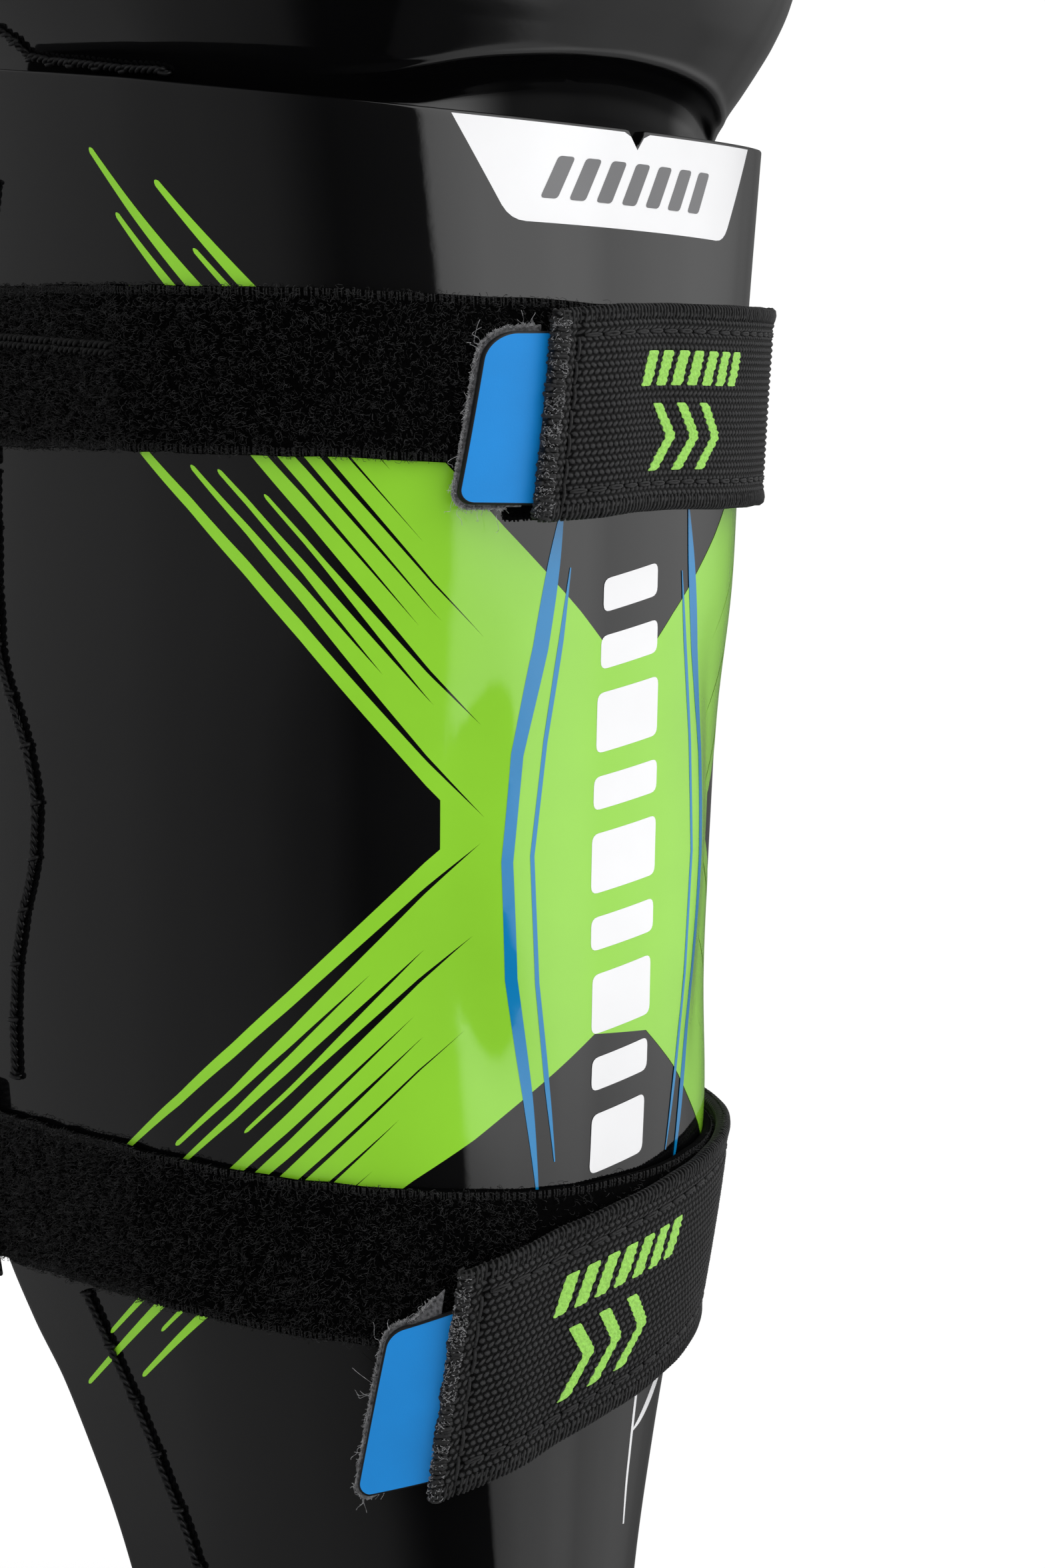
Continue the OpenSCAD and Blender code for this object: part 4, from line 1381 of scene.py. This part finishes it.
def hook_fibres(tab, grid):
    """Matted fibres along the cut edge of the hook tape, and a few long stray hairs."""
    random = np.random.RandomState(tab["seed"])
    uniform = random.uniform
    points = grid(0.0, TAB_BASE - 0.3)
    bare = int(TAB_COLUMNS * 0.7)   # columns clear of the root
    tip, top, low = points[:, 0], points[-1, :bare], points[0, :bare]
    travel = run(tip)
    count = detail(500, 4200)
    pick = uniform(0, 1, count)[:, None]
    rows = np.interp(uniform(0, travel[-1], count), travel, np.arange(len(travel))).astype(int)
    source = np.where(pick < 0.70, tip[rows],
                      np.where(pick < 0.85, top[random.randint(0, bare, count)],
                               low[random.randint(0, bare, count)]))
    root = source + uniform(-0.16, 0.16, (count, 3))
    centre = points.reshape(-1, 3).mean(0)
    out = unit(root - centre)
    up = normal(shin, (tab["tip_top"][0] + tab["tip_low"][0]) / 2,
                (tab["tip_top"][1] + tab["tip_low"][1]) / 2)
    part = np.linspace(0, 1, 6)[None, :, None]
    curl = uniform(-1, 1, (count, 3))
    length = uniform(0.12, 0.42, count) * np.where(uniform(0, 1, count) < 0.04, 2.6, 1.0)
    reach = (length * uniform(0.1, 1, count))[:, None, None]
    rise = (length * uniform(-0.3, 1.4, count))[:, None, None]
    paths = (root[:, None, :] + out[:, None, :] * (part * reach) + up * (part * rise)
             + curl[:, None, :] * (np.sin(part * math.pi * 1.4) * 0.55 * length[:, None, None]))
    fringe = tubes(paths, uniform(0.022, 0.042, count)[:, None], 3, caps=False)

    count = 14
    rim = np.concatenate([tip, top, low])
    source = rim[random.randint(0, len(rim), count)]
    out = unit(source - centre)
    part = np.linspace(0, 1, 14)[None, :, None]
    length = uniform(1.2, 4.2, count)[:, None, None]
    paths = (source[:, None, :] + out[:, None, :] * (part * length) + up * 0.9
             + uniform(-1, 1, (count, 3))[:, None, :] * (np.sin(part * 4.0) * 0.28 * length)
             + uniform(-1, 1, (count, 3))[:, None, :] * (np.sin(part * 9.0) * 0.10 * length))
    return fringe, tubes(paths, 0.032, 3, caps=False)


def build_tab(key, tab_body):
    tab = TABS[key]
    name = key.capitalize()
    shape = slab(tab_grid(tab, grow=0.0, hidden=tab["hidden"]), TAB_T, edge=0.34,
                 top=TAB_BASE + TAB_T)
    ob = make(name + "_tab", shape, [TAB, TAB_BACK], second_from=shape[2])
    ob.data.set_sharp_from_angle(angle=math.radians(60))
    # a place just under the fold and one just clear of it
    turn = (tab["root_top"][0] + tab["root_low"][0]) / 2
    z = (tab["root_top"][1] + tab["root_low"][1]) / 2
    hub = shin(turn, z, TAB_BASE + TAB_T)
    outer = shin(turn - 0.045, z, TAB_BASE + TAB_T)
    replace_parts(ob, key + "_tab")
    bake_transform(ob)
    # hook tape under the tab, its cut edge showing
    grid = tab_grid(tab, grow=0.45, hidden=0.0)
    hook = make(name + "_hook_patch", slab(grid, 0.78, edge=0.3, steps=2, top=TAB_BASE - 0.08),
                FELT)
    attach(hook, tab_body, "hook_felt", key + "_hook_patch")
    fringe, hairs = hook_fibres(tab, grid)
    attach(make(name + "_hook_fringe", fringe, FELT_EDGE), tab_body, "hook_felt")
    attach(make(name + "_stray_hairs", hairs, FELT_EDGE), tab_body, "hook_felt")


build_tab("upper", "upper_pull_tab")
build_tab("lower", "lower_pull_tab")


# ------------------------------------------------------------------ heavy thread seams
STRAND_R, HELIX_R, TWIST_PITCH, TWIST_PHASE = 0.34, 0.33, 2.6, 0.7
STITCH_DIP = 1.1


def cord(paths, ref):
    """Two-ply thread along the centre lines."""
    side, up = cross_axes(paths, ref)
    travel = np.array([run(path) for path in paths])
    strands = []
    for start in (0, math.pi):
        angle = (travel / TWIST_PITCH * 2 * math.pi + start + TWIST_PHASE)[..., None]
        centre = paths + HELIX_R * (np.cos(angle) * side + np.sin(angle) * up)
        strands.append(tubes(centre, STRAND_R, 7, ref=ref))
    return join(strands)


def lock_loops(place, turns, z, lift, random):
    """Loops that cross the seam at its holes."""
    root = place(turns, z, lift)
    out = normal(place, turns, z)
    right = unit(place(turns + 0.01, z, 0.0) - place(turns - 0.01, z, 0.0))
    up = np.cross(out, right)
    heading = random.uniform(-0.35, 0.35, len(turns))[:, None]
    axis = right * np.cos(heading) + up * np.sin(heading)
    angle = np.linspace(0, math.pi, 12)[None, :, None]
    paths = (root[:, None, :] + axis[:, None, :] * (np.cos(angle) * 1.05)
             + out[:, None, :] * (np.sin(angle) * 0.95 + 0.1))
    return tubes(paths, STRAND_R, 6, ref=out[:, None, :])


def build_seam(name, place, turns, z, lift, body, seed, frame_piece=None, lock=True,
               is_hidden=lambda z: False, material=THREAD):
    """One heavy stitch between neighbouring holes, dipping into the plastic at both."""
    random = np.random.RandomState(seed)
    first = np.array([i for i in range(len(z) - 1)
                      if not (is_hidden(z[i]) or is_hidden(z[i + 1]))])
    count, steps = len(first), 34
    part = np.linspace(0, 1, steps)
    arch = half_wave(steps)[None, :]
    stray = random.uniform(-0.35, 0.35, count)[:, None] / 60.0

    def between(values):
        start, end = values[first][:, None], values[first + 1][:, None]
        return start + (end - start) * part[None, :]

    path_turn, path_z = between(turns) + arch * stray, between(z)
    rise = quarter(np.minimum(1, np.minimum(part, 1 - part) / 0.09))
    path_lift = (lift + 0.62 - STITCH_DIP * (1 - rise)[None, :]
                 - 0.12 * arch * random.uniform(-1, 1, count)[:, None])
    parts = [cord(place(path_turn, path_z, path_lift), normal(place, path_turn, path_z))]
    if lock:
        holes = np.unique(np.concatenate([first, first + 1]))
        parts.append(lock_loops(place, turns[holes], z[holes], lift, random))
    frame_pieces = (frame_piece,) if frame_piece else ()
    attach(make(name, join(parts), material), body, "thread", *frame_pieces)


# z, turn of the shell's side seams
SEAM = np.array([[10, 0.85], [28.3, 0.99], [51.8, 1.192], [72.9, 1.411], [96.8, 1.61],
                 [111.8, 1.613], [124.4, 1.568], [137.2, 1.468], [142.2, 1.441], [149.4, 1.46],
                 [157.7, 1.53], [164.8, 1.626], [172, 1.69], [186, 1.72], [230, 1.72],
                 [246, 1.60]])


def seam_heights(pitch=9.0):
    z = [12.0]
    while z[-1] <= 240:
        slope = SIDE_K * (float(look_up(SEAM, z[-1] + 4)) - float(look_up(SEAM, z[-1]))) / 4
        z.append(z[-1] + pitch / math.sqrt(1 + slope * slope))
    return np.array(z)


def under_tape(z):
    return 72 < z < 98 or 200 < z < 228


seam_z = seam_heights()
for side, name in ((-1, "Lateral_shell_seam"), (1, "Medial_shell_seam")):
    build_seam(name, shin, side * look_up(SEAM, seam_z), seam_z, lift=0.05, body="root",
               seed=41 + side, frame_piece=name.lower(), is_hidden=under_tape)

# two rows of stitches along the upper tape, on the lateral side
for row, (name, frame_piece) in enumerate((("Tape_stitching_lateral", "tape_stitching"),
                                           ("Tape_stitching_lateral_pair", None))):
    build_seam(name, shin, -(1.02 + np.arange(5) * 0.15), 215.65 + 1.1 * row + np.arange(5) * 0.4,
               lift=TAPE_TOP - 0.15, body="root", seed=51 + row, frame_piece=frame_piece,
               lock=False, material=THREAD_DARK)


# ------------------------------------------------------------------ knee cap
KNEE_LOW, KNEE_HIGH = 242, 350
# turn, z of the crease between the dome and its skirt
CREASE = np.array([[0, 262.7], [0.112, 262.2], [0.226, 261.1], [0.30, 260.1], [0.374, 258.8],
                   [0.489, 257.2], [0.693, 256.5], [0.957, 257.5], [1.302, 259.6],
                   [1.495, 260.7], [1.6, 262.5]])
# turn, z of the holes of the knee seams
KNEE_HOLES = np.array([[0.93, 257.6], [1.06, 258.2], [1.18, 258.9], [1.30, 259.6], [1.40, 260.1],
                       [1.495, 261.0], [1.545, 263.4], [1.61, 265.4]])


def knee_face(turn, z, lift=0.0):
    """Knee surface with a hollow on each side and a crease over its skirt."""
    turn, z = np.broadcast_arrays(np.asarray(turn, float), np.asarray(z, float))
    size = np.abs(turn)
    hollow = (1.8 * hump(z, 300, 22) * smooth((size - 0.34) / 0.14)
              * (1 - smooth((size - 0.66) / 0.22)))
    above = z - look_up(CREASE, size)
    lip = 0.42 * hump(above, 0.2, 0.75)
    set_in = 1.0 * smooth((1.2 - above) / 5.0) * smooth((above + 9) / 4.0)
    crease = (1 - smooth((size - 0.40) / 0.25)) * (lip - set_in)
    return on_section(KNEE, turn, z, lift - hollow + crease)


def knee_grid(inset, lift):
    height = KNEE_HIGH - KNEE_LOW
    # rows are closest at the crease
    z = np.concatenate([np.arange(KNEE_LOW, 253, 0.9), np.arange(253, 266, detail(0.7, 0.28)),
                        np.linspace(266, KNEE_HIGH, detail(60, 110))])
    z = KNEE_LOW + inset + (z - KNEE_LOW) * (height - 2 * inset) / height
    column = np.linspace(-1, 1, detail(140, 240))
    return knee_face(column[None, :] * (knee_rear(z) - inset / SIDE_K)[:, None], z[:, None], lift)


def build_knee_cap():
    shape = slab(knee_grid, SHELL_T, edge=0.9, steps=4)
    ob = make("Knee_cap", shape, [KNEE_BLACK, INNER], second_from=-shape[2])
    # painted shade: the skirt loses its specular where it turns under the front of the crease,
    # where it lies in shade
    x, y, z = shape[0].T
    turn = np.abs(np.degrees(np.arctan2(x / look_up(KNEE, z, 1), -y / look_up(KNEE, z, 2))) / 90)
    under = smooth((look_up(CREASE, turn) - 0.1 - z) / 0.8) * (1 - smooth((turn - 0.20) / 0.16))
    attribute = ob.data.attributes.new("under", "FLOAT", "POINT")
    attribute.data.foreach_set("value", under.astype(np.float32))
    attach(ob, "knee", "shell_plastic", "knee_cap")


build_knee_cap()
for side, name, frame_piece in ((-1, "Knee_seam_lateral", "knee_seam"),
                                (1, "Knee_seam_medial", None)):
    build_seam(name, knee_face, side * KNEE_HOLES[:, 0], KNEE_HOLES[:, 1], lift=0.05,
               body="knee", seed=61 + side, frame_piece=frame_piece)


# ------------------------------------------------------------------ foam and liner
SOFT_LOW, SOFT_HIGH = 6, 236        # liner and binding
KNEE_SOFT = (266, 338)              # knee foam and liner
# sewn channels of the comfort liner
CHANNEL_TURNS = [-1.35, -0.95, -0.55, -0.18, 0.18, 0.55, 0.95, 1.35]
CHANNEL_HEIGHTS = [34, 66, 98, 130, 162, 194, 222]


def build_soft(name, place, outer, inner, low, high, size, rear, short, edge, material, body,
               slot, puff=None):
    """Soft sheet between two lifts, ending short of the rear edges.

    size is (rows, columns); puff(turn, z) swells the inner face."""
    rows, columns = (int(count * detail(0.5, 1.0)) for count in size)

    def grid(inset, lift):
        z = np.linspace(low + inset, high - inset, rows)
        end = rear(z) - short / SIDE_K - inset / SIDE_K
        turn = np.linspace(-1, 1, columns)[None, :] * end[:, None]
        z = z[:, None] * np.ones_like(turn)
        if puff and lift <= inner + 1e-6:
            lift = lift - puff(turn, z)
        return place(turn, z, lift)

    ob = make(name, slab(grid, outer - inner, edge, top=outer), material)
    attach(ob, body, slot, name.lower())


def quilt(turns, heights, depth, width=3.2):
    """Pillow height between sewn channels at the given turns and heights."""
    def puff(turn, z):
        distance = np.min([np.abs(turn - channel) * 62 for channel in turns]
                          + [np.abs(z - channel) for channel in heights], axis=0)
        return depth * (1 - np.exp(-(distance / width) ** 1.4))
    return puff


def liner_stitches(turn, z, lift, bulge, radius):
    points = shin(turn, z, lift - bulge * half_wave(6)[None, :])
    return tubes(points, radius, 5, ref=normal(shin, turn, z))


def build_channels():
    pitch, length, turn_size = 2.6, 2.0, 58
    look = dict(lift=-11.35, bulge=0.22, radius=0.17)
    parts = []
    for channel in CHANNEL_TURNS:
        starts = np.arange(10, 231, pitch)
        starts = starts[shin_rear(starts) - 0.14 > abs(channel)]
        z = spans(starts, length, 6)
        parts.append(liner_stitches(np.full_like(z, channel), z, **look))
    for channel in CHANNEL_HEIGHTS:
        end = float(shin_rear(channel)) - 0.1
        starts = np.arange(-end, end - 0.04, pitch / turn_size)
        turn = spans(starts, length / turn_size, 6)
        parts.append(liner_stitches(turn, np.full_like(turn, channel), **look))
    attach(make("Comfort_liner_channels", join(parts), THREAD), "root", "thread")


def build_binding(side):
    """Rounded binding folded over the rear edges of the foam and the liner."""
    rows, around = detail((60, 14), (150, 22))
    z = np.linspace(SOFT_LOW, SOFT_HIGH, rows)
    to_end = np.minimum(z - (SOFT_LOW - 1), SOFT_HIGH + 1 - z)
    taper = quarter(np.minimum(1, to_end / 3.0))[:, None]
    random = np.random.RandomState(71 + side)
    wobble = np.interp(z, np.linspace(SOFT_LOW, SOFT_HIGH, 30), random.uniform(-0.15, 0.15, 30))
    angle = np.arange(around) * 2 * math.pi / around
    cosine, sine = np.cos(angle), np.sin(angle)
    forward = ((1.5 + 1.15 * np.sign(cosine) * np.abs(cosine) ** 0.8)[None, :] * taper
               + wobble[:, None] + (1 - taper) * 1.5)
    lift = -7.3 + 4.35 * (np.sign(sine) * np.abs(sine) ** 0.55)[None, :] * taper
    points = shin(side * (shin_rear(z)[:, None] - forward / SIDE_K), z[:, None], lift)
    ids = np.arange(rows * around).reshape(rows, around)
    following = np.roll(ids, -1, axis=1)
    faces = np.stack([ids[:-1], following[:-1], following[1:], ids[1:]], -1).reshape(-1, 4)
    faces = faces.tolist() + [ids[0, ::-1].tolist(), ids[-1].tolist()]
    ob = make("Liner_binding_" + ("medial" if side > 0 else "lateral"), (points, faces), BINDING)
    attach(ob, "root", "binding")
    stitch_z = spans(np.arange(9, 232, 2.4), 1.9, 6)
    stitches = liner_stitches(side * (shin_rear(stitch_z) - 2.6 / SIDE_K), stitch_z,
                              lift=-11.62, bulge=0.2, radius=0.16)
    attach(make(ob.name + "_stitching", stitches, THREAD), "root", "thread")
    return ob


build_soft("Shin_foam", shin, outer=-2.95, inner=-7.95, low=10, high=SOFT_HIGH, size=(130, 160),
           rear=shin_rear, short=8, edge=1.2, material=FOAM, body="root", slot="foam")
build_soft("Comfort_liner", shin, outer=-8.4, inner=-11.3, low=SOFT_LOW, high=SOFT_HIGH,
           size=(300, 360), rear=shin_rear, short=3.4, edge=1.0, material=LINER, body="root",
           slot="liner_fabric", puff=quilt(CHANNEL_TURNS, CHANNEL_HEIGHTS, depth=1.5))
build_channels()
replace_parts(build_binding(-1), "liner_binding")
build_binding(1)
build_soft("Knee_foam", knee, outer=-3, inner=-10, low=KNEE_SOFT[0], high=KNEE_SOFT[1],
           size=(60, 120), rear=knee_rear, short=5, edge=1.5, material=FOAM, body="knee",
           slot="foam")
build_soft("Knee_liner", knee, outer=-10.5, inner=-12.6, low=KNEE_SOFT[0], high=KNEE_SOFT[1],
           size=(120, 240), rear=knee_rear, short=3, edge=0.9, material=LINER, body="knee",
           slot="liner_fabric",
           puff=quilt([-1.0, -0.6, -0.2, 0.2, 0.6, 1.0], [290, 314], depth=1.6))


# ------------------------------------------------------------------ soft gussets
def build_gusset(name, lower, upper, reach, folds):
    """Folded cloth between two surfaces, each given as (place, z, lift)."""
    columns, rows = detail((60, 16), (150, 44))
    (low_place, low_z, low_lift), (high_place, high_z, high_lift) = lower, upper

    def grid(inset, lift):
        row = np.linspace(0, 1, rows)
        turn, z = np.meshgrid(np.linspace(-1, 1, columns) * (reach - inset / SIDE_K),
                              low_z + inset + (high_z - low_z - 2 * inset) * row)
        row = row[:, None]
        ripple = (-0.8 * np.sin(row * math.pi * folds) ** 2
                  + 0.12 * np.sin(turn * 23 + row * 5))
        share = smooth(row)[..., None]
        return (low_place(turn, z, low_lift + lift + ripple) * (1 - share)
                + high_place(turn, z, high_lift + lift + ripple) * share)

    ob = make(name, slab(grid, 1.5, edge=0.6, steps=2), LINER)
    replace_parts(ob, name.lower())
    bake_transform(ob)


build_gusset("Knee_gusset", (shin, 236.4, -9.6), (knee, 265.6, -10.6), reach=1.2, folds=3)
build_gusset("Thigh_gusset", (knee, 338.4, -9.5), (thigh, 354.5, -5.0), reach=0.92, folds=2)


# ------------------------------------------------------------------ thigh guard
def thigh_grid(low, high, reach, corner, rows, columns, relief=None):
    """Grid of a round-cornered plate; relief(turn, z) lifts its outer face."""
    def grid(inset, lift):
        row = eased(rows)
        z = low + (high - low) * row
        from_end = np.clip(np.minimum(z - low, high - z) / corner, 0, 1)
        end = reach - 0.3 * (1 - quarter(from_end)) - inset / 75
        turn = np.linspace(-1, 1, columns)[None, :] * end[:, None]
        z = (low + inset + (high - low - 2 * inset) * row)[:, None]
        if relief and lift > -1e-6:
            lift = lift + relief(turn, z)
        return thigh(turn, z, lift)

    return grid


def plate_relief(turn, z):
    """Raised middle field with four grooves across it."""
    size = np.abs(turn)
    field = (0.9 * smooth((0.34 - size) / 0.09) * smooth((z - 363) / 8)
             * smooth((417 - z) / 8))
    grooves = sum(0.55 * hump(z, middle, 1.6) for middle in (376, 386, 396, 406))
    return field - grooves * smooth((0.26 - size) / 0.05)


def build_thigh_plate():
    rows, columns = detail((60, 70), (120, 150))
    shape = slab(thigh_grid(353, 426, reach=0.76, corner=22, rows=rows, columns=columns,
                            relief=plate_relief), 2.4, edge=0.8)
    ob = make("Thigh_plate", shape, [BLACK, INNER], second_from=-shape[2])
    attach(ob, "thigh_guard", "shell_plastic", "thigh_plate")


def inflate(ob, voxel, frames=20):
    """Remeshes the object and swells it as pressurised cloth. Returns points before and after."""
    remesh = ob.modifiers.new("remesh", "REMESH")
    remesh.mode = "VOXEL"
    remesh.voxel_size = voxel * MM
    mesh = baked(ob)
    ob.modifiers.clear()
    materials = list(ob.data.materials)
    ob.data = mesh
    mesh.materials.clear()
    for material in materials:
        mesh.materials.append(material)
    before = get_points(mesh)
    cloth = ob.modifiers.new("cloth", "CLOTH")
    cloth.settings.use_pressure = True
    cloth.settings.uniform_pressure_force = 4.0
    cloth.settings.effector_weights.gravity = 0.0
    cloth.settings.quality = 5
    cloth.point_cache.frame_start = 1
    cloth.point_cache.frame_end = frames
    for frame in range(1, frames + 1):
        scene.frame_set(frame)
    graph = bpy.context.evaluated_depsgraph_get()
    after = get_points(ob.evaluated_get(graph).data)
    ob.modifiers.clear()
    scene.frame_set(1)
    return before, after


def build_thigh_pad():
    top, thick, most_swell = -3.4, 9.6, 1.6
    grid = thigh_grid(349, 433, reach=0.88, corner=24, rows=50, columns=60)
    pad = make("Thigh_pad", slab(grid, thick, edge=3.2, steps=4, top=top), PAD_MESH)
    before, after = inflate(pad, voxel=3.4)
    # keep the swelling small, and none of it outwards into the plate
    move = after - before
    outward = unit(before * np.array([1, 1, 0]))
    move -= outward * np.maximum((move * outward).sum(1), 0)[:, None]
    size = np.linalg.norm(move, axis=1)
    move *= (np.minimum(size, most_swell * MM) / np.maximum(size, 1e-12))[:, None]
    set_points(pad.data, before + move)
    subdivision = pad.modifiers.new("sub", "SUBSURF")
    subdivision.levels = 1
    subdivision.render_levels = 1
    mesh = baked(pad)
    pad.modifiers.clear()
    pad.data = mesh
    # press sewn channels into the inner face
    points = get_points(mesh) / MM
    x, y, z = points.T
    turn = np.degrees(np.arctan2(x / (look_up(THIGH, z, 1) - 13),
                                 -y / (look_up(THIGH, z, 2) - 13))) / 90
    radius = np.hypot(x, y)
    middle = thigh(turn, z, -8.4)
    inner = smooth((np.hypot(middle[:, 0], middle[:, 1]) - radius) / 3.0)
    distance = np.min([np.abs(turn - channel) * 60 for channel in (-0.42, 0.0, 0.42)]
                      + [np.abs(z - channel) for channel in (377, 405)], axis=0)
    push = 2.2 * hump(distance, 0, 2.4) * inner
    points[:, :2] *= (1 + push / np.maximum(radius, 1))[:, None]
    set_points(mesh, points * MM)
    mesh.polygons.foreach_set("use_smooth", np.ones(len(mesh.polygons), bool))
    mesh.update()
    attach(pad, "thigh_guard", "liner_fabric", "thigh_pad")


build_thigh_plate()
build_thigh_pad()

# ------------------------------------------------------------------ light
# Brightness seen in mirror reflections. Bearing in degrees: 0 at -Y, 90 at -X
BEARING_LIGHT = [
    (-180, 0.3), (-128, 0.12), (-112, 0.18), (-99, 0.35), (-85, 0.75), (-68, 1.3), (-53, 1.6),
    (-38, 1.65), (-30, 2.1), (-22, 2.2), (-14, 2.1), (2, 2.1), (14, 1.75), (17.5, 1.6),
    (19.5, 0.07), (50, 0.035), (58, 0.08), (66, 0.15), (75, 0.22), (101, 0.28), (156, 0.28),
    (180, 0.3)]
# factor by elevation in degrees, for bearings up to 50 and from 70 on
ELEVATION_FRONT = [
    (-90, 0.03), (-50, 0.03), (-46, 0.10), (-42, 0.36), (-36, 0.40), (-24, 0.42), (-12, 0.75),
    (-5, 0.95), (4, 1.1), (35, 1.2), (55, 0.9), (90, 1.2)]
ELEVATION_SIDE = [(-90, 0.2), (-45, 0.8), (-35, 1.0), (4, 1.1), (35, 1.2), (55, 0.9), (90, 1.2)]


def build_world():
    world = bpy.data.worlds.new("studio")
    scene.world = world
    n = Nodes(world)
    output = n.new("OutputWorld")
    incoming = n.split(n.new("NewGeometry").outputs["Incoming"])
    x, y, z = (n.mul(incoming[i], -1.0) for i in range(3))
    degrees = 180 / math.pi
    bearing = n.mul(n.math("ARCTAN2", n.mul(x, -1.0), n.mul(y, -1.0)), degrees)
    elevation = n.mul(n.math("ARCSINE", z), degrees)
    by_bearing = n.ramp(n.div(n.add(bearing, 180.0), 360.0),
                        [((angle + 180) / 360, value) for angle, value in BEARING_LIGHT])
    elevation_share = n.div(n.add(elevation, 90.0), 180.0)
    front, side = (n.ramp(elevation_share, [((angle + 90) / 180, value) for angle, value in stops])
                   for stops in (ELEVATION_FRONT, ELEVATION_SIDE))
    by_elevation = n.mix(n.div(n.sub(bearing, 50.0), 20.0, clamp=True), front, side)
    radiance = n.mix(1.0, by_bearing, by_elevation, blend_type="MULTIPLY")
    mirrored = n.shader("Background", radiance, 1.0)

    # soft white light for all other rays, a little stronger from the medial front and above
    toward = n.add(n.add(n.mul(x, 0.30), n.mul(y, -0.70)), n.mul(z, 0.60))
    base_light, directed_light = 0.78, 0.75
    strength = n.add(base_light, n.mul(n.math("MAXIMUM", toward, 0.0), directed_light))
    soft = n.shader("Background", (1, 1, 1), strength)
    backdrop = n.shader("Background", (1, 1, 1), 1.05)
    path = n.new("LightPath").outputs
    lit = n.shader("MixShader", path["Is Glossy Ray"], soft, mirrored)
    seen = n.shader("MixShader", path["Is Camera Ray"], lit, backdrop)
    n.feed(output.inputs[0], seen)


# ------------------------------------------------------------------ floor
def floor_material():
    """Pale floor: seen nearly white, and left out of mirror reflections so that the gloss
    plastic keeps its contrast."""
    material = Material("floor_pale")
    n = material.nodes
    material.set(Base_Color=(0.86, 0.86, 0.87), Roughness=0.8, Specular_IOR_Level=0.1)
    mottle = n.noise(n.coordinates("Object"), scale=3.0, detail=2)
    material.set(Base_Color=n.mix(mottle, (0.85, 0.85, 0.86), (0.87, 0.87, 0.875)))
    path = n.new("LightPath").outputs
    clear = n.shader("BsdfTransparent")
    solid = n.shader("MixShader", path["Is Glossy Ray"], material.bsdf.outputs[0], clear)
    glow = n.shader("Emission", None, 1.06)
    glow_share = n.mul(path["Is Camera Ray"], 0.8)
    n.feed(material.output.inputs[0], n.shader("MixShader", glow_share, solid, glow))
    return material.data


def build_floor():
    half, z = 4000, -0.6
    corners = [(-half, -half, z), (half, -half, z), (half, half, z), (-half, half, z)]
    floor = make("Floor", (corners, [[0, 1, 2, 3]]), floor_material(), smooth_shade=False)


# ------------------------------------------------------------------ camera
CAMERA_BEARING = -43.15             # degrees from -Y, negative towards -X
CAMERA_DISTANCE, CAMERA_Z = 700.0, 192.26
# turned off the z axis, tipped down and rolled, in degrees
CAMERA_YAW, CAMERA_PITCH, CAMERA_ROLL = -1.79, 3.39, 2.0


def build_camera():
    data = bpy.data.cameras.new("Camera")
    camera = bpy.data.objects.new("Camera", data)
    scene.collection.objects.link(camera)
    data.sensor_fit = "VERTICAL"
    data.sensor_height = 36.0
    data.lens = 100.8
    data.clip_start = 0.01
    bearing = math.radians(CAMERA_BEARING)
    heading = bearing + math.radians(CAMERA_YAW)
    pitch, roll = math.radians(CAMERA_PITCH), math.radians(CAMERA_ROLL)
    place = np.array([CAMERA_DISTANCE * math.sin(bearing), -CAMERA_DISTANCE * math.cos(bearing),
                      CAMERA_Z]) * MM
    level = np.array([-math.sin(heading), math.cos(heading), 0.0])
    right = np.array([math.cos(heading), math.sin(heading), 0.0])
    up = np.array([0, 0, 1.0])
    forward = level * math.cos(pitch) - up * math.sin(pitch)
    tipped_up = level * math.sin(pitch) + up * math.cos(pitch)
    axis_x = right * math.cos(roll) + tipped_up * math.sin(roll)
    axis_y = -right * math.sin(roll) + tipped_up * math.cos(roll)
    rows = np.stack([axis_x, axis_y, -forward, place], -1).tolist()
    camera.matrix_world = Matrix(rows + [[0, 0, 0, 1]])
    scene.camera = camera


build_world()
build_floor()
build_camera()
scene.view_settings.view_transform = "Standard"
scene.view_settings.look = "None"
